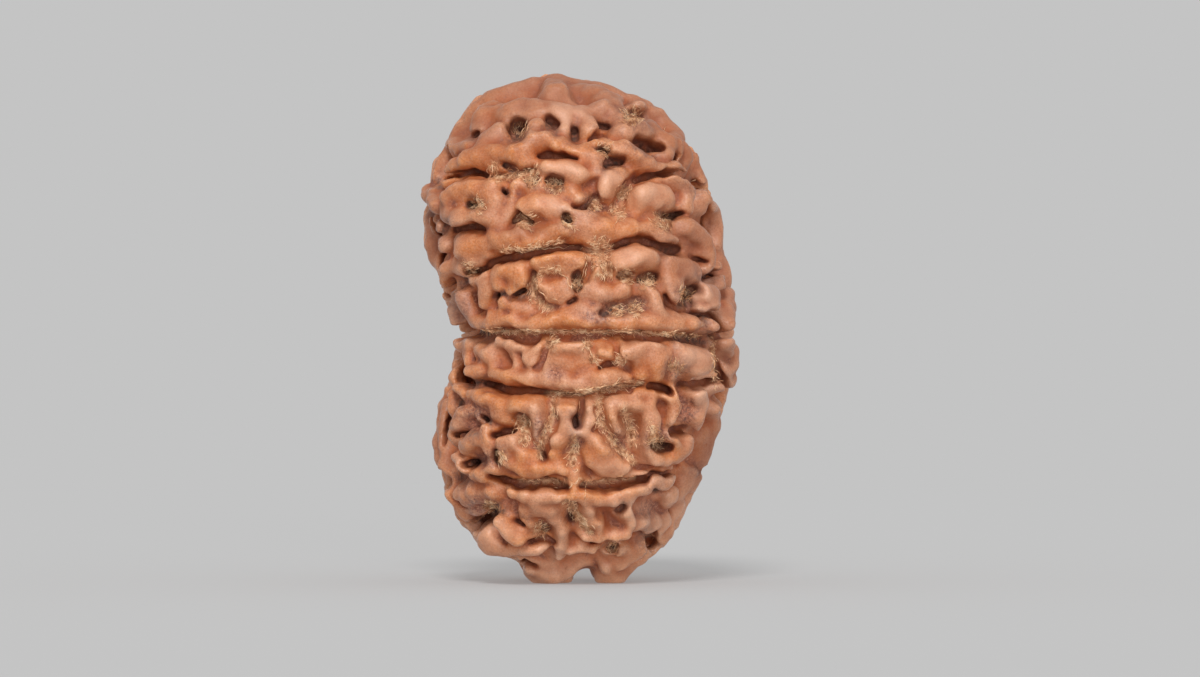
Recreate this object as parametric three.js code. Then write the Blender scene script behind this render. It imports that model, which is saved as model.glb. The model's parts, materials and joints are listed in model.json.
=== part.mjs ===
// A rudraksha seed standing upright, in millimetres: one kidney-shaped woody stone.
// Z is up, -Y faces the viewer, and X runs from pole to pole. The deep lines run between the poles,
// and each band between two lines is broken into lips, lumps, ribs and pits.
import * as THREE from "three";
import { mergeVertices } from "three/addons/utils/BufferGeometryUtils.js";

// The body under the relief, at the level of the valley floors
const BODY_MIDDLE = 15.1;
const BODY_TOP_HEIGHT = 13.8;
const BODY_BOTTOM_DEPTH = 13.9;
const BODY_HALF_WIDTH = 7.85;
const BODY_HALF_DEPTH = 9.15;
// Powers of the body's curves: 2 is an ellipse, more is blunter
const TOP_FULLNESS = 2.7;
const BOTTOM_FULLNESS = 2.4;
const SECTION_FULLNESS = 2.2;
// The waist bows to the right, which makes the notch of the kidney at the left
const WAIST_HEIGHT = 14.5;
const WAIST_REACH = 4.7;
const WAIST_SHIFT = 1.6;
const WAIST_NARROWING = 0.04;
// The ends lie to the left of the waist, the top leans further left, and the lower half is narrower
const ENDS_SHIFT = -0.75;
const TOP_LEAN = -0.75;
const LOWER_NARROWING = 0.35;
// Puts the middle of the finished box over the origin
const CENTRE_X = 0.08;
const CENTRE_Y = 0.05;

// The front's places are read from slightly above: how far a sight line sinks for each mm that it goes back
const SIGHT_SLOPE = 0.026;

// How the relief blends: ridges with each other, ridges with the body, and cuts
const RIDGE_BLEND = 0.36;
const FLANK_BLEND = 0.6;
const CUT_BLEND = 0.3;
// Ridges stand this much above their crests in the lists, on flanks that widen below their axes
const EXTRA_CREST = 0.15;
const RIDGE_FLARE = 0.5;
const FLARE_DEPTH = 1.1;
// Cuts are this much shallower than in the lists, because the flanks raise the valleys,
// and those of the front lean this much towards the viewer
const CUT_LIFT = 0.3;
const CUT_LEAN = 2;
// How much farther from its axis than a ridge a leaning cut may open
const CUT_REACH = 1.5;
// The finest cut that these facets can show, and the deepest
const LEAST_CUT_RADIUS = 0.3;
const DEEPEST_CUT = 0.7;
const HIGHEST_RELIEF = 1.9;
// The facets: how finely the sphere is split, and the small circle whose mean level each corner takes
const FACET_SPLITS = 23;
const MEAN_RADIUS = 0.35;
const MEAN_COUNT = 6;
// Corners are drawn to cuts longer than this, by up to this share of their shortest edge
const LONG_LINE = 2.2;
const LINE_PULL = 0.48;
// How much of each other corner's level is the mean of the corners round it
const EVENING = 0.55;
// Corners below this height belong to the flat soles of the feet
const FLAT_HEIGHT = 0.06;

// Rows of the front: [name, radius, crest above the body, [[x, z], ...]]. A point may add its own radius.
const RIDGES = [
  // Cap above the first line
  ["cap left shoulder", 1.15, 0.95, [[-5.1, 28.4], [-4.1, 28.9], [-2.8, 28.9]]],
  ["cap crown knob", 0.8, 1.3, [[-1.6, 29.7], [-1.6, 29.1]]],
  ["cap right shoulder", 1.15, 1.0, [[-0.3, 28.8], [0.6, 28.6], [1.3, 28.2]]],
  ["cap apron", 0.9, 0.9, [[-4.9, 27.8], [-3.9, 27.9], [-2.7, 27.7], [-1.4, 27.6], [0.0, 27.5],
   [1.2, 27.8], [2.2, 28.0]]],
  ["cap rib to the pits", 0.6, 0.85, [[-0.9, 27.8], [-1.2, 26.9]]],
  ["cap rib beside the pit", 0.55, 0.85, [[0.4, 27.5], [0.3, 26.9]]],
  ["cap nose", 0.42, 1.0, [[0.5, 27.5], [0.8, 27.1]]],
  ["cap left fold", 0.65, 1.0, [[-5.4, 28.3], [-5.8, 27.6], [-6.15, 27.1]]],
  ["left brow bump", 0.7, 1.0, [[-6.7, 28.1], [-6.9, 27.6]]],
  ["left temple", 0.85, 0.95, [[-7.6, 26.9], [-7.0, 26.7]]],
  ["left temple lip", 0.36, 1.15, [[-8.15, 26.2], [-7.5, 26.0], [-6.8, 25.95]]],
  ["left temple edge", 0.5, 0.9, [[-8.5, 26.0], [-8.7, 25.2], [-8.8, 24.5]]],
  ["right crown rim", 0.5, 1.0, [[2.2, 29.3], [2.9, 28.8], [3.6, 28.5], [4.4, 28.2]]],
  ["right crown rim foot", 0.4, 1.0, [[2.9, 28.8], [3.3, 28.4], [3.9, 28.3]]],
  ["right outer rim", 0.6, 1.4, [[4.6, 28.0], [5.3, 27.5], [5.5, 26.8], [5.5, 26.0]]],
  ["right outer rim knob", 0.5, 1.5, [[6.0, 25.95], [6.3, 25.5]]],
  ["right outer rim tail", 0.5, 1.4, [[6.6, 25.1], [7.1, 24.6], [7.5, 23.9], [7.6, 23.4]]],
  ["right cheek arch", 0.62, 1.2, [[2.6, 26.8], [3.5, 26.95], [4.3, 26.9], [4.75, 26.3], [4.85, 25.5]]],
  ["right cheek bridge", 0.85, 0.95, [[1.9, 27.9], [2.1, 27.2], [2.2, 26.8, 0.6]]],

  // Between the first and second lines
  ["brow ridge", 0.5, 1.3, [[-8.0, 24.3], [-7.6, 24.85], [-6.8, 25.15], [-6.0, 25.5], [-5.2, 25.8],
   [-4.2, 25.75], [-3.4, 25.85], [-2.8, 26.3], [-2.1, 26.5], [-1.4, 26.1], [-0.6, 25.7], [0.3, 25.4],
   [1.0, 25.45]]],
  ["brow ridge flank", 0.6, 0.95, [[-6.4, 24.95], [-5.3, 25.3], [-4.2, 25.2], [-3.2, 25.1]]],
  ["brow left peak", 0.55, 1.1, [[-5.7, 25.9], [-5.4, 26.6], [-5.0, 26.95]]],
  ["brow middle peak", 0.36, 1.1, [[-2.8, 26.4], [-2.85, 27.1], [-2.75, 27.35]]],
  ["brow right web", 0.36, 1.0, [[0.4, 25.35], [0.65, 24.9], [0.6, 24.4]]],
  ["right brow lens", 0.2, 1.1, [[0.3, 26.05], [0.8, 26.35], [1.5, 26.5], [2.0, 26.2]]],
  ["right brow ridge", 0.48, 1.3, [[1.7, 26.0], [2.4, 25.7], [3.1, 25.35], [3.9, 25.0], [4.5, 24.65],
   [5.2, 24.45], [5.8, 24.1], [6.15, 23.5], [6.3, 22.9]]],
  ["right brow flank", 0.45, 1.0, [[2.6, 25.1], [3.4, 24.75], [4.1, 24.55]]],
  ["middle pillow", 0.58, 1.5, [[-2.05, 24.6], [-1.1, 24.55], [-0.3, 24.4]]],
  ["small plate by the pillow", 0.3, 0.6, [[-5.2, 24.7], [-4.8, 24.75]]],
  ["slanting lump", 0.56, 1.2, [[2.2, 24.35], [1.75, 24.0], [1.35, 23.55], [1.25, 23.2]]],
  ["plaque by the slanting lump", 0.22, 0.8, [[2.8, 24.45], [3.1, 24.35]]],

  // Between the second and third lines
  ["left boss rim", 0.6, 1.45, [[-7.8, 22.0], [-7.75, 22.9], [-7.2, 23.55], [-6.3, 23.65], [-5.5, 23.3],
   [-5.1, 22.6], [-5.3, 21.95], [-6.1, 21.75], [-7.0, 21.8], [-7.8, 22.0]]],
  ["left boss", 1.2, 1.15, [[-6.6, 22.6], [-6.2, 22.6]]],
  ["left boss tail", 0.3, 0.8, [[-7.7, 21.5], [-7.3, 21.2]]],
  ["left outline knob", 0.52, 1.5, [[-9.1, 23.45], [-8.85, 23.1], [-8.5, 22.6]]],
  ["left fin", 0.45, 1.1, [[-8.75, 21.8], [-8.95, 21.1], [-8.9, 20.3], [-8.65, 19.4], [-8.35, 18.6]]],
  ["left fin inner bump", 0.36, 1.1, [[-8.5, 21.6], [-8.45, 21.3]]],
  ["left fin bead", 0.4, 1.25, [[-8.25, 20.5], [-8.15, 20.2]]],
  ["boss flank strip", 0.36, 1.0, [[-5.3, 20.8], [-4.9, 21.5], [-4.5, 22.1], [-4.15, 22.6], [-4.05, 23.4]]],
  ["saddle under the pillow", 0.65, 0.8, [[-3.5, 23.5], [-2.4, 23.35], [-1.2, 23.3], [-0.4, 23.1]]],
  ["saddle knob", 0.45, 1.05, [[-0.7, 23.25], [-0.1, 23.0]]],
  ["middle long pad", 0.58, 1.3, [[-3.3, 22.3], [-2.6, 22.45], [-1.8, 22.3], [-0.9, 22.15]]],
  ["pad root", 0.5, 0.9, [[-2.9, 21.9], [-1.9, 21.8]]],
  ["left heel", 0.72, 1.2, [[-7.2, 20.1], [-6.6, 20.15], [-6.0, 20.1]]],
  ["left heel under", 0.4, 0.9, [[-7.3, 19.5], [-6.4, 19.5], [-5.6, 19.6]]],
  ["orange ridge left", 0.42, 1.2, [[-5.7, 20.25], [-5.0, 20.45], [-4.3, 20.7], [-3.75, 20.95],
  [-3.35, 20.95]]],
  ["orange ridge right", 0.42, 1.2, [[-3.1, 20.5], [-2.4, 20.65], [-1.7, 20.9], [-1.2, 21.0]]],
  ["orange ridge under", 0.4, 0.85, [[-4.6, 20.1], [-3.6, 20.2], [-2.6, 20.25], [-1.6, 20.4]]],
  ["right shelf", 0.55, 1.25, [[-0.8, 21.2], [0.1, 21.15], [0.8, 21.15], [1.6, 21.25], [2.3, 21.15],
  [2.85, 21.25]]],
  ["right shelf top left", 0.5, 1.05, [[-0.4, 21.9], [0.5, 21.8]]],
  ["right shelf top right", 0.4, 1.05, [[2.1, 21.75], [2.7, 21.6]]],
  ["right shelf under", 0.4, 0.85, [[-0.6, 20.6], [0.4, 20.5], [1.6, 20.7]]],
  ["pink pillow", 0.78, 1.65, [[3.55, 23.1], [4.2, 23.1], [4.95, 23.05]]],
  ["pink pillow root", 0.5, 0.9, [[3.1, 22.5], [3.7, 22.45]]],
  ["strap right of the pillow", 0.4, 1.1, [[6.0, 23.4], [6.1, 22.9], [6.2, 22.4]]],
  ["ridge under the pillow", 0.4, 1.0, [[3.5, 21.15], [4.1, 20.95], [4.7, 20.75]]],
  ["ridge end knob", 0.46, 1.25, [[4.95, 20.6], [5.35, 20.5]]],
  ["shelf behind the knob", 0.4, 0.7, [[3.8, 21.6], [4.8, 21.4], [5.5, 21.2]]],
  ["right slanting roll", 0.62, 1.3, [[6.1, 21.35], [6.6, 20.85], [7.0, 20.3], [7.25, 19.7], [7.4, 19.2]]],
  ["right outer roll", 0.6, 1.3, [[7.1, 22.8], [7.6, 22.3], [7.9, 21.5], [8.0, 20.7]]],
  ["right outer edge", 0.5, 1.3, [[8.0, 22.6], [8.2, 21.8], [8.2, 21.0]]],

  // Between the third and fourth lines
  ["long lip", 0.42, 1.25, [[-6.4, 15.7], [-5.2, 15.55], [-4.0, 15.5], [-2.8, 15.5], [-1.6, 15.5],
   [-0.5, 15.7], [0.6, 15.6], [1.8, 15.5], [3.0, 15.55], [4.2, 15.45], [5.4, 15.45, 0.46],
   [6.4, 15.4, 0.42], [7.2, 15.25, 0.25]]],
  ["finger root", 0.5, 1.0, [[4.6, 15.9], [5.5, 15.8], [6.3, 15.65]]],
  ["left stub", 0.52, 1.05, [[-7.5, 16.4], [-7.35, 15.85]]],
  ["left thumb", 0.46, 1.3, [[-7.0, 17.2], [-6.85, 16.7], [-6.65, 16.1], [-6.55, 15.8]]],
  ["left lobe", 0.5, 1.15, [[-7.8, 18.8], [-7.85, 18.1], [-7.95, 17.4]]],
  ["left lobe top", 0.4, 0.95, [[-7.5, 19.0], [-7.0, 18.8]]],
  ["little orange bead", 0.24, 0.95, [[-6.6, 18.15], [-6.2, 18.3]]],
  ["pale column", 0.45, 1.15, [[-5.8, 18.4], [-5.6, 17.7], [-5.6, 16.9]]],
  ["grey lump", 0.45, 1.2, [[-5.0, 18.45], [-4.8, 17.8]]],
  ["orange lump", 0.55, 1.3, [[-4.5, 18.75], [-3.8, 18.5], [-3.55, 17.95], [-3.95, 17.45]]],
  ["pink beads", 0.45, 1.15, [[-4.65, 16.7], [-4.6, 16.5]]],
  ["pink beads low", 0.28, 1.1, [[-5.3, 16.15], [-4.85, 16.0]]],
  ["slope under the lump", 0.5, 0.85, [[-4.0, 16.5], [-3.2, 16.2]]],
  ["upper rim of the ring", 0.36, 1.2, [[-2.6, 19.15], [-1.8, 19.35], [-0.9, 19.35], [-0.35, 19.15]]],
  ["ring top", 0.4, 0.95, [[-2.2, 18.75], [-1.3, 18.8], [-0.7, 18.6]]],
  ["ring lump", 0.55, 1.15, [[-2.3, 17.65], [-1.7, 17.5], [-1.2, 17.7], [-0.85, 17.2]]],
  ["ring lump low", 0.4, 0.95, [[-2.0, 17.0], [-1.3, 16.9]]],
  ["middle rib", 0.26, 0.85, [[0.85, 19.3], [0.75, 18.6], [0.65, 18.0]]],
  ["middle shelf", 0.55, 1.0, [[0.1, 17.3], [1.1, 17.35], [2.3, 17.3]]],
  ["middle hill", 0.6, 1.1, [[-0.9, 16.0], [0.0, 16.35], [0.8, 16.2]]],
  ["pink egg", 0.74, 1.6, [[2.35, 19.2], [3.1, 19.35], [3.95, 19.2]]],
  ["pink egg root", 0.5, 1.0, [[2.6, 18.7], [3.6, 18.8]]],
  ["standing ridge", 0.38, 1.25, [[3.9, 17.5], [4.2, 17.0], [4.5, 16.4], [4.75, 15.95]]],
  ["leaf top", 0.58, 1.25, [[5.2, 19.0], [6.0, 18.85], [6.6, 18.7]]],
  ["leaf stem", 0.55, 1.25, [[5.3, 18.6], [5.45, 17.8], [5.45, 17.1]]],
  ["leaf web", 0.5, 1.1, [[5.7, 18.4], [6.2, 18.4]]],
  ["right knob", 0.62, 1.4, [[7.2, 17.4], [7.6, 17.3], [7.55, 16.7]]],
  ["right knob foot", 0.4, 1.0, [[6.8, 16.3], [7.5, 16.2]]],
  ["right corner", 0.42, 1.05, [[8.2, 20.0], [8.45, 19.2], [8.75, 18.5], [8.8, 18.1]]],
  ["right corner inner", 0.4, 0.95, [[8.1, 19.0], [8.2, 18.3], [8.2, 17.7]]],
  ["right outline lump", 0.55, 1.1, [[8.6, 17.1], [8.65, 16.4], [8.45, 15.7]]],
  ["right small bead", 0.33, 1.1, [[7.85, 15.2], [8.1, 15.0]]],
  ["right small bead upper", 0.28, 1.0, [[7.7, 15.9], [7.8, 15.6]]],

  // Between the fourth and fifth lines
  ["left knob", 0.52, 1.1, [[-7.1, 14.25], [-6.6, 14.2]]],
  ["left knob lower", 0.4, 1.05, [[-6.9, 13.6], [-6.6, 13.3]]],
  ["left low bead", 0.38, 1.25, [[-6.5, 12.8], [-6.0, 12.85]]],
  ["left pad", 0.5, 1.05, [[-6.0, 13.9], [-5.3, 13.7], [-5.2, 13.2]]],
  ["left pad upper", 0.36, 1.1, [[-4.9, 14.35], [-4.2, 14.1], [-3.4, 14.2]]],
  ["left pad middle", 0.45, 0.95, [[-4.0, 13.6], [-3.6, 13.1]]],
  ["curl", 0.5, 1.1, [[-2.6, 14.1], [-2.9, 13.7], [-2.75, 13.3]]],
  ["middle bead", 0.4, 1.2, [[-1.3, 14.0], [-0.7, 14.05], [-0.2, 13.9]]],
  ["middle pad", 0.55, 1.1, [[-1.8, 13.2], [-0.9, 13.1], [0.0, 13.2]]],
  ["lower strip", 0.46, 1.2, [[-5.3, 12.65], [-4.2, 12.4], [-3.1, 12.3], [-2.0, 12.35], [-1.0, 12.3],
   [0.2, 12.15], [1.2, 12.15], [1.9, 12.35]]],
  ["little knob", 0.36, 1.25, [[1.1, 13.8], [1.5, 13.75]]],
  ["pad under the crack", 0.42, 1.15, [[0.4, 12.65], [1.4, 12.6]]],
  ["small lump", 0.36, 0.95, [[2.4, 12.45], [2.7, 12.4]]],
  ["right body", 0.52, 1.25, [[2.5, 13.85], [3.4, 14.0], [4.3, 13.9], [4.8, 13.7]]],
  ["right body leg", 0.48, 1.25, [[4.1, 13.5], [4.35, 12.9], [4.4, 12.4]]],
  ["right body root", 0.5, 0.95, [[3.4, 13.2], [3.5, 12.6]]],
  ["right fist", 0.76, 1.5, [[5.9, 13.4], [6.6, 13.3], [7.0, 13.3]]],
  ["fist root", 0.45, 1.0, [[5.4, 13.9], [5.2, 13.2], [5.3, 12.5]]],
  ["outer ear", 0.58, 1.15, [[8.35, 14.3], [8.75, 13.7], [8.6, 13.0], [8.3, 12.6]]],
  ["outer ear lobe", 0.42, 1.1, [[8.7, 12.35], [8.5, 12.0], [8.2, 11.8]]],

  // Between the fifth and sixth lines
  ["left block", 0.42, 1.2, [[-6.5, 11.3], [-6.1, 11.05], [-5.8, 10.7]]],
  ["left strap", 0.42, 1.05, [[-7.8, 12.7], [-7.5, 12.1], [-7.15, 11.6], [-6.95, 11.2]]],
  ["left outer block", 0.5, 1.0, [[-7.7, 12.9], [-7.75, 12.3]]],
  ["left long fin", 0.4, 1.35, [[-8.1, 11.4], [-8.35, 10.6], [-8.45, 9.6], [-8.5, 8.6], [-8.6, 7.6],
  [-8.65, 7.2]]],
  ["left bean", 0.34, 1.3, [[-7.9, 11.1], [-7.95, 10.5]]],
  ["left finger", 0.46, 1.25, [[-7.05, 10.1], [-7.25, 9.5], [-7.6, 9.0]]],
  ["left slope", 0.5, 0.8, [[-6.4, 10.3], [-5.9, 9.9]]],
  ["upper pad", 0.5, 1.25, [[-5.4, 10.9], [-4.6, 10.75], [-3.7, 10.7], [-2.9, 10.6]]],
  ["upper pad slope", 0.6, 0.95, [[-4.8, 10.2], [-4.2, 10.0]]],
  ["upper pad right leg", 0.36, 1.15, [[-2.8, 10.4], [-2.65, 9.6], [-2.7, 8.9]]],
  ["star knob", 0.4, 1.25, [[-5.6, 9.1], [-5.5, 8.6], [-5.5, 8.0]]],
  ["star left arm", 0.4, 1.2, [[-6.0, 8.4], [-6.6, 8.4], [-6.9, 8.1]]],
  ["star right arm", 0.42, 1.25, [[-4.6, 8.65], [-4.15, 8.6], [-4.4, 8.2]]],
  ["left low knob", 0.34, 1.15, [[-7.4, 7.4], [-7.1, 7.0], [-6.9, 6.75]]],
  ["left low pad", 0.45, 1.2, [[-6.3, 6.4], [-5.8, 6.6], [-5.3, 6.75]]],
  ["left grey knob", 0.36, 0.95, [[-7.9, 6.5], [-7.7, 6.3]]],
  ["lip over the sixth line", 0.46, 1.25, [[-4.3, 7.3], [-3.5, 6.9], [-2.6, 6.85], [-1.8, 6.9],
   [-1.2, 6.85]]],
  ["lip root", 0.5, 1.0, [[-4.3, 7.9], [-3.5, 7.7], [-2.9, 7.5]]],
  ["orange bar", 0.36, 1.15, [[-1.2, 10.6], [-0.6, 10.55]]],
  ["arch", 0.27, 1.1, [[-0.9, 10.2], [-0.85, 9.6], [-0.45, 9.15], [0.1, 9.15], [0.4, 9.7], [0.45, 10.5]]],
  ["arch left leg", 0.38, 1.15, [[-0.8, 9.3], [-1.3, 8.6], [-1.6, 7.9], [-1.4, 7.3]]],
  ["arch right leg", 0.42, 1.2, [[0.2, 9.0], [0.7, 8.4], [1.2, 7.8], [1.8, 7.3]]],
  ["lobe right of the arch", 0.55, 1.25, [[0.5, 7.4], [1.2, 7.15], [2.0, 7.0], [2.5, 6.95]]],
  ["lobe root", 0.5, 0.95, [[0.3, 8.0], [0.7, 7.7]]],
  ["shield top", 0.36, 1.25, [[1.7, 10.5], [2.5, 10.7], [3.3, 10.8], [3.9, 10.6]]],
  ["shield left edge", 0.26, 1.15, [[1.65, 10.4], [1.8, 9.9], [2.05, 9.4], [2.2, 9.1]]],
  ["shield right side", 0.55, 1.25, [[4.0, 10.5], [4.0, 9.9], [3.95, 9.2], [3.8, 8.7]]],
  ["shield slope", 0.5, 0.85, [[2.0, 11.2], [3.1, 11.3], [4.1, 11.1]]],
  ["slim block", 0.42, 1.2, [[5.3, 11.3], [5.45, 10.6], [5.3, 9.9]]],
  ["outer block", 0.55, 1.25, [[6.9, 11.4], [7.0, 10.7], [6.8, 10.0], [6.7, 9.5]]],
  ["hook", 0.45, 1.25, [[5.2, 8.9], [5.35, 8.4], [5.6, 8.0]]],
  ["hook roll", 0.48, 1.3, [[6.3, 8.6], [6.0, 8.0], [5.5, 7.6], [4.9, 7.45], [4.3, 7.55], [4.0, 7.95]]],
  ["right outline bead", 0.42, 1.1, [[7.75, 10.3], [7.8, 9.95]]],
  ["right outline bead lower", 0.42, 1.05, [[7.65, 9.2], [7.55, 8.7]]],
  ["right flank", 0.6, 0.95, [[7.0, 8.8], [6.9, 8.0], [6.7, 7.4]]],

  // Between the sixth and seventh lines
  ["sixth line bridge", 0.24, 1.1, [[-0.5, 6.7], [-0.5, 6.2], [-0.5, 5.6]]],
  ["sill", 0.38, 1.15, [[-4.1, 5.55], [-3.5, 5.45], [-2.6, 5.35], [-1.6, 5.35], [-0.6, 5.45], [0.3, 5.4],
   [1.2, 5.15], [1.9, 5.15], [2.6, 5.5], [3.3, 5.9, 0.45], [4.2, 6.1, 0.55], [5.0, 6.2, 0.6]]],
  ["left plates", 0.5, 1.0, [[-7.0, 5.5], [-6.2, 5.6], [-5.5, 5.6]]],
  ["left plates lower", 0.3, 1.0, [[-6.8, 4.9], [-6.2, 5.0]]],
  ["left tongue", 0.28, 1.0, [[-6.8, 4.2], [-6.3, 4.2]]],
  ["left corner knob", 0.5, 1.3, [[-8.1, 5.6], [-7.7, 5.4]]],
  ["left corner slope", 0.5, 0.95, [[-7.4, 4.9], [-7.1, 4.4]]],
  ["left corner lower", 0.5, 0.95, [[-6.8, 3.8], [-6.5, 3.3]]],
  ["big left lobe", 0.75, 1.55, [[-5.6, 3.1], [-5.3, 2.6], [-4.9, 2.3]]],
  ["second left lobe", 0.58, 1.55, [[-4.5, 3.6], [-4.1, 3.1], [-3.75, 2.75]]],
  ["lobe edge", 0.32, 1.15, [[-5.0, 2.05], [-4.2, 2.0], [-3.2, 1.95], [-2.4, 2.0]]],
  ["sill left slope", 0.45, 1.0, [[-3.4, 4.7], [-3.2, 4.0]]],
  ["sill middle slope", 0.5, 1.05, [[-2.6, 4.8], [-1.9, 4.5]]],
  ["low middle slope", 0.4, 0.9, [[-1.6, 3.8], [-1.2, 3.3]]],
  ["thin rib", 0.2, 1.05, [[0.3, 4.9], [0.5, 4.3], [0.8, 3.6], [1.1, 3.0]]],
  ["bowl rim", 0.26, 1.1, [[0.2, 2.7], [1.2, 2.7], [2.0, 2.8], [2.7, 3.05], [3.0, 3.5]]],
  ["bowl side", 0.33, 1.05, [[2.8, 5.0], [2.8, 4.2], [2.9, 3.7]]],
  ["right low pad", 0.62, 0.9, [[3.3, 3.8], [4.0, 3.6], [4.6, 3.7]]],
  ["right broad slope", 0.75, 0.95, [[4.9, 5.2], [5.6, 5.0], [6.0, 5.3]]],
  ["right slope edge", 0.45, 1.05, [[6.75, 6.0], [6.5, 5.4], [6.1, 4.8]]],
  ["right slope lower edge", 0.45, 1.0, [[5.6, 4.3], [5.2, 3.7]]],

  // Below the seventh line
  ["bottom rib", 0.33, 1.0, [[-1.1, 2.9], [-1.1, 2.2], [-1.2, 1.6]]],
  ["bottom lip", 0.24, 1.15, [[-0.6, 1.75], [0.0, 1.9], [0.7, 1.75]]],
  ["bottom pad", 0.42, 1.05, [[2.1, 1.9], [2.9, 1.8]]],
  ["bottom right pad", 0.5, 1.05, [[4.3, 2.6], [4.6, 2.1]]],
  ["bottom right slope", 0.5, 0.95, [[3.2, 1.5], [3.9, 1.7]]],
];

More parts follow.
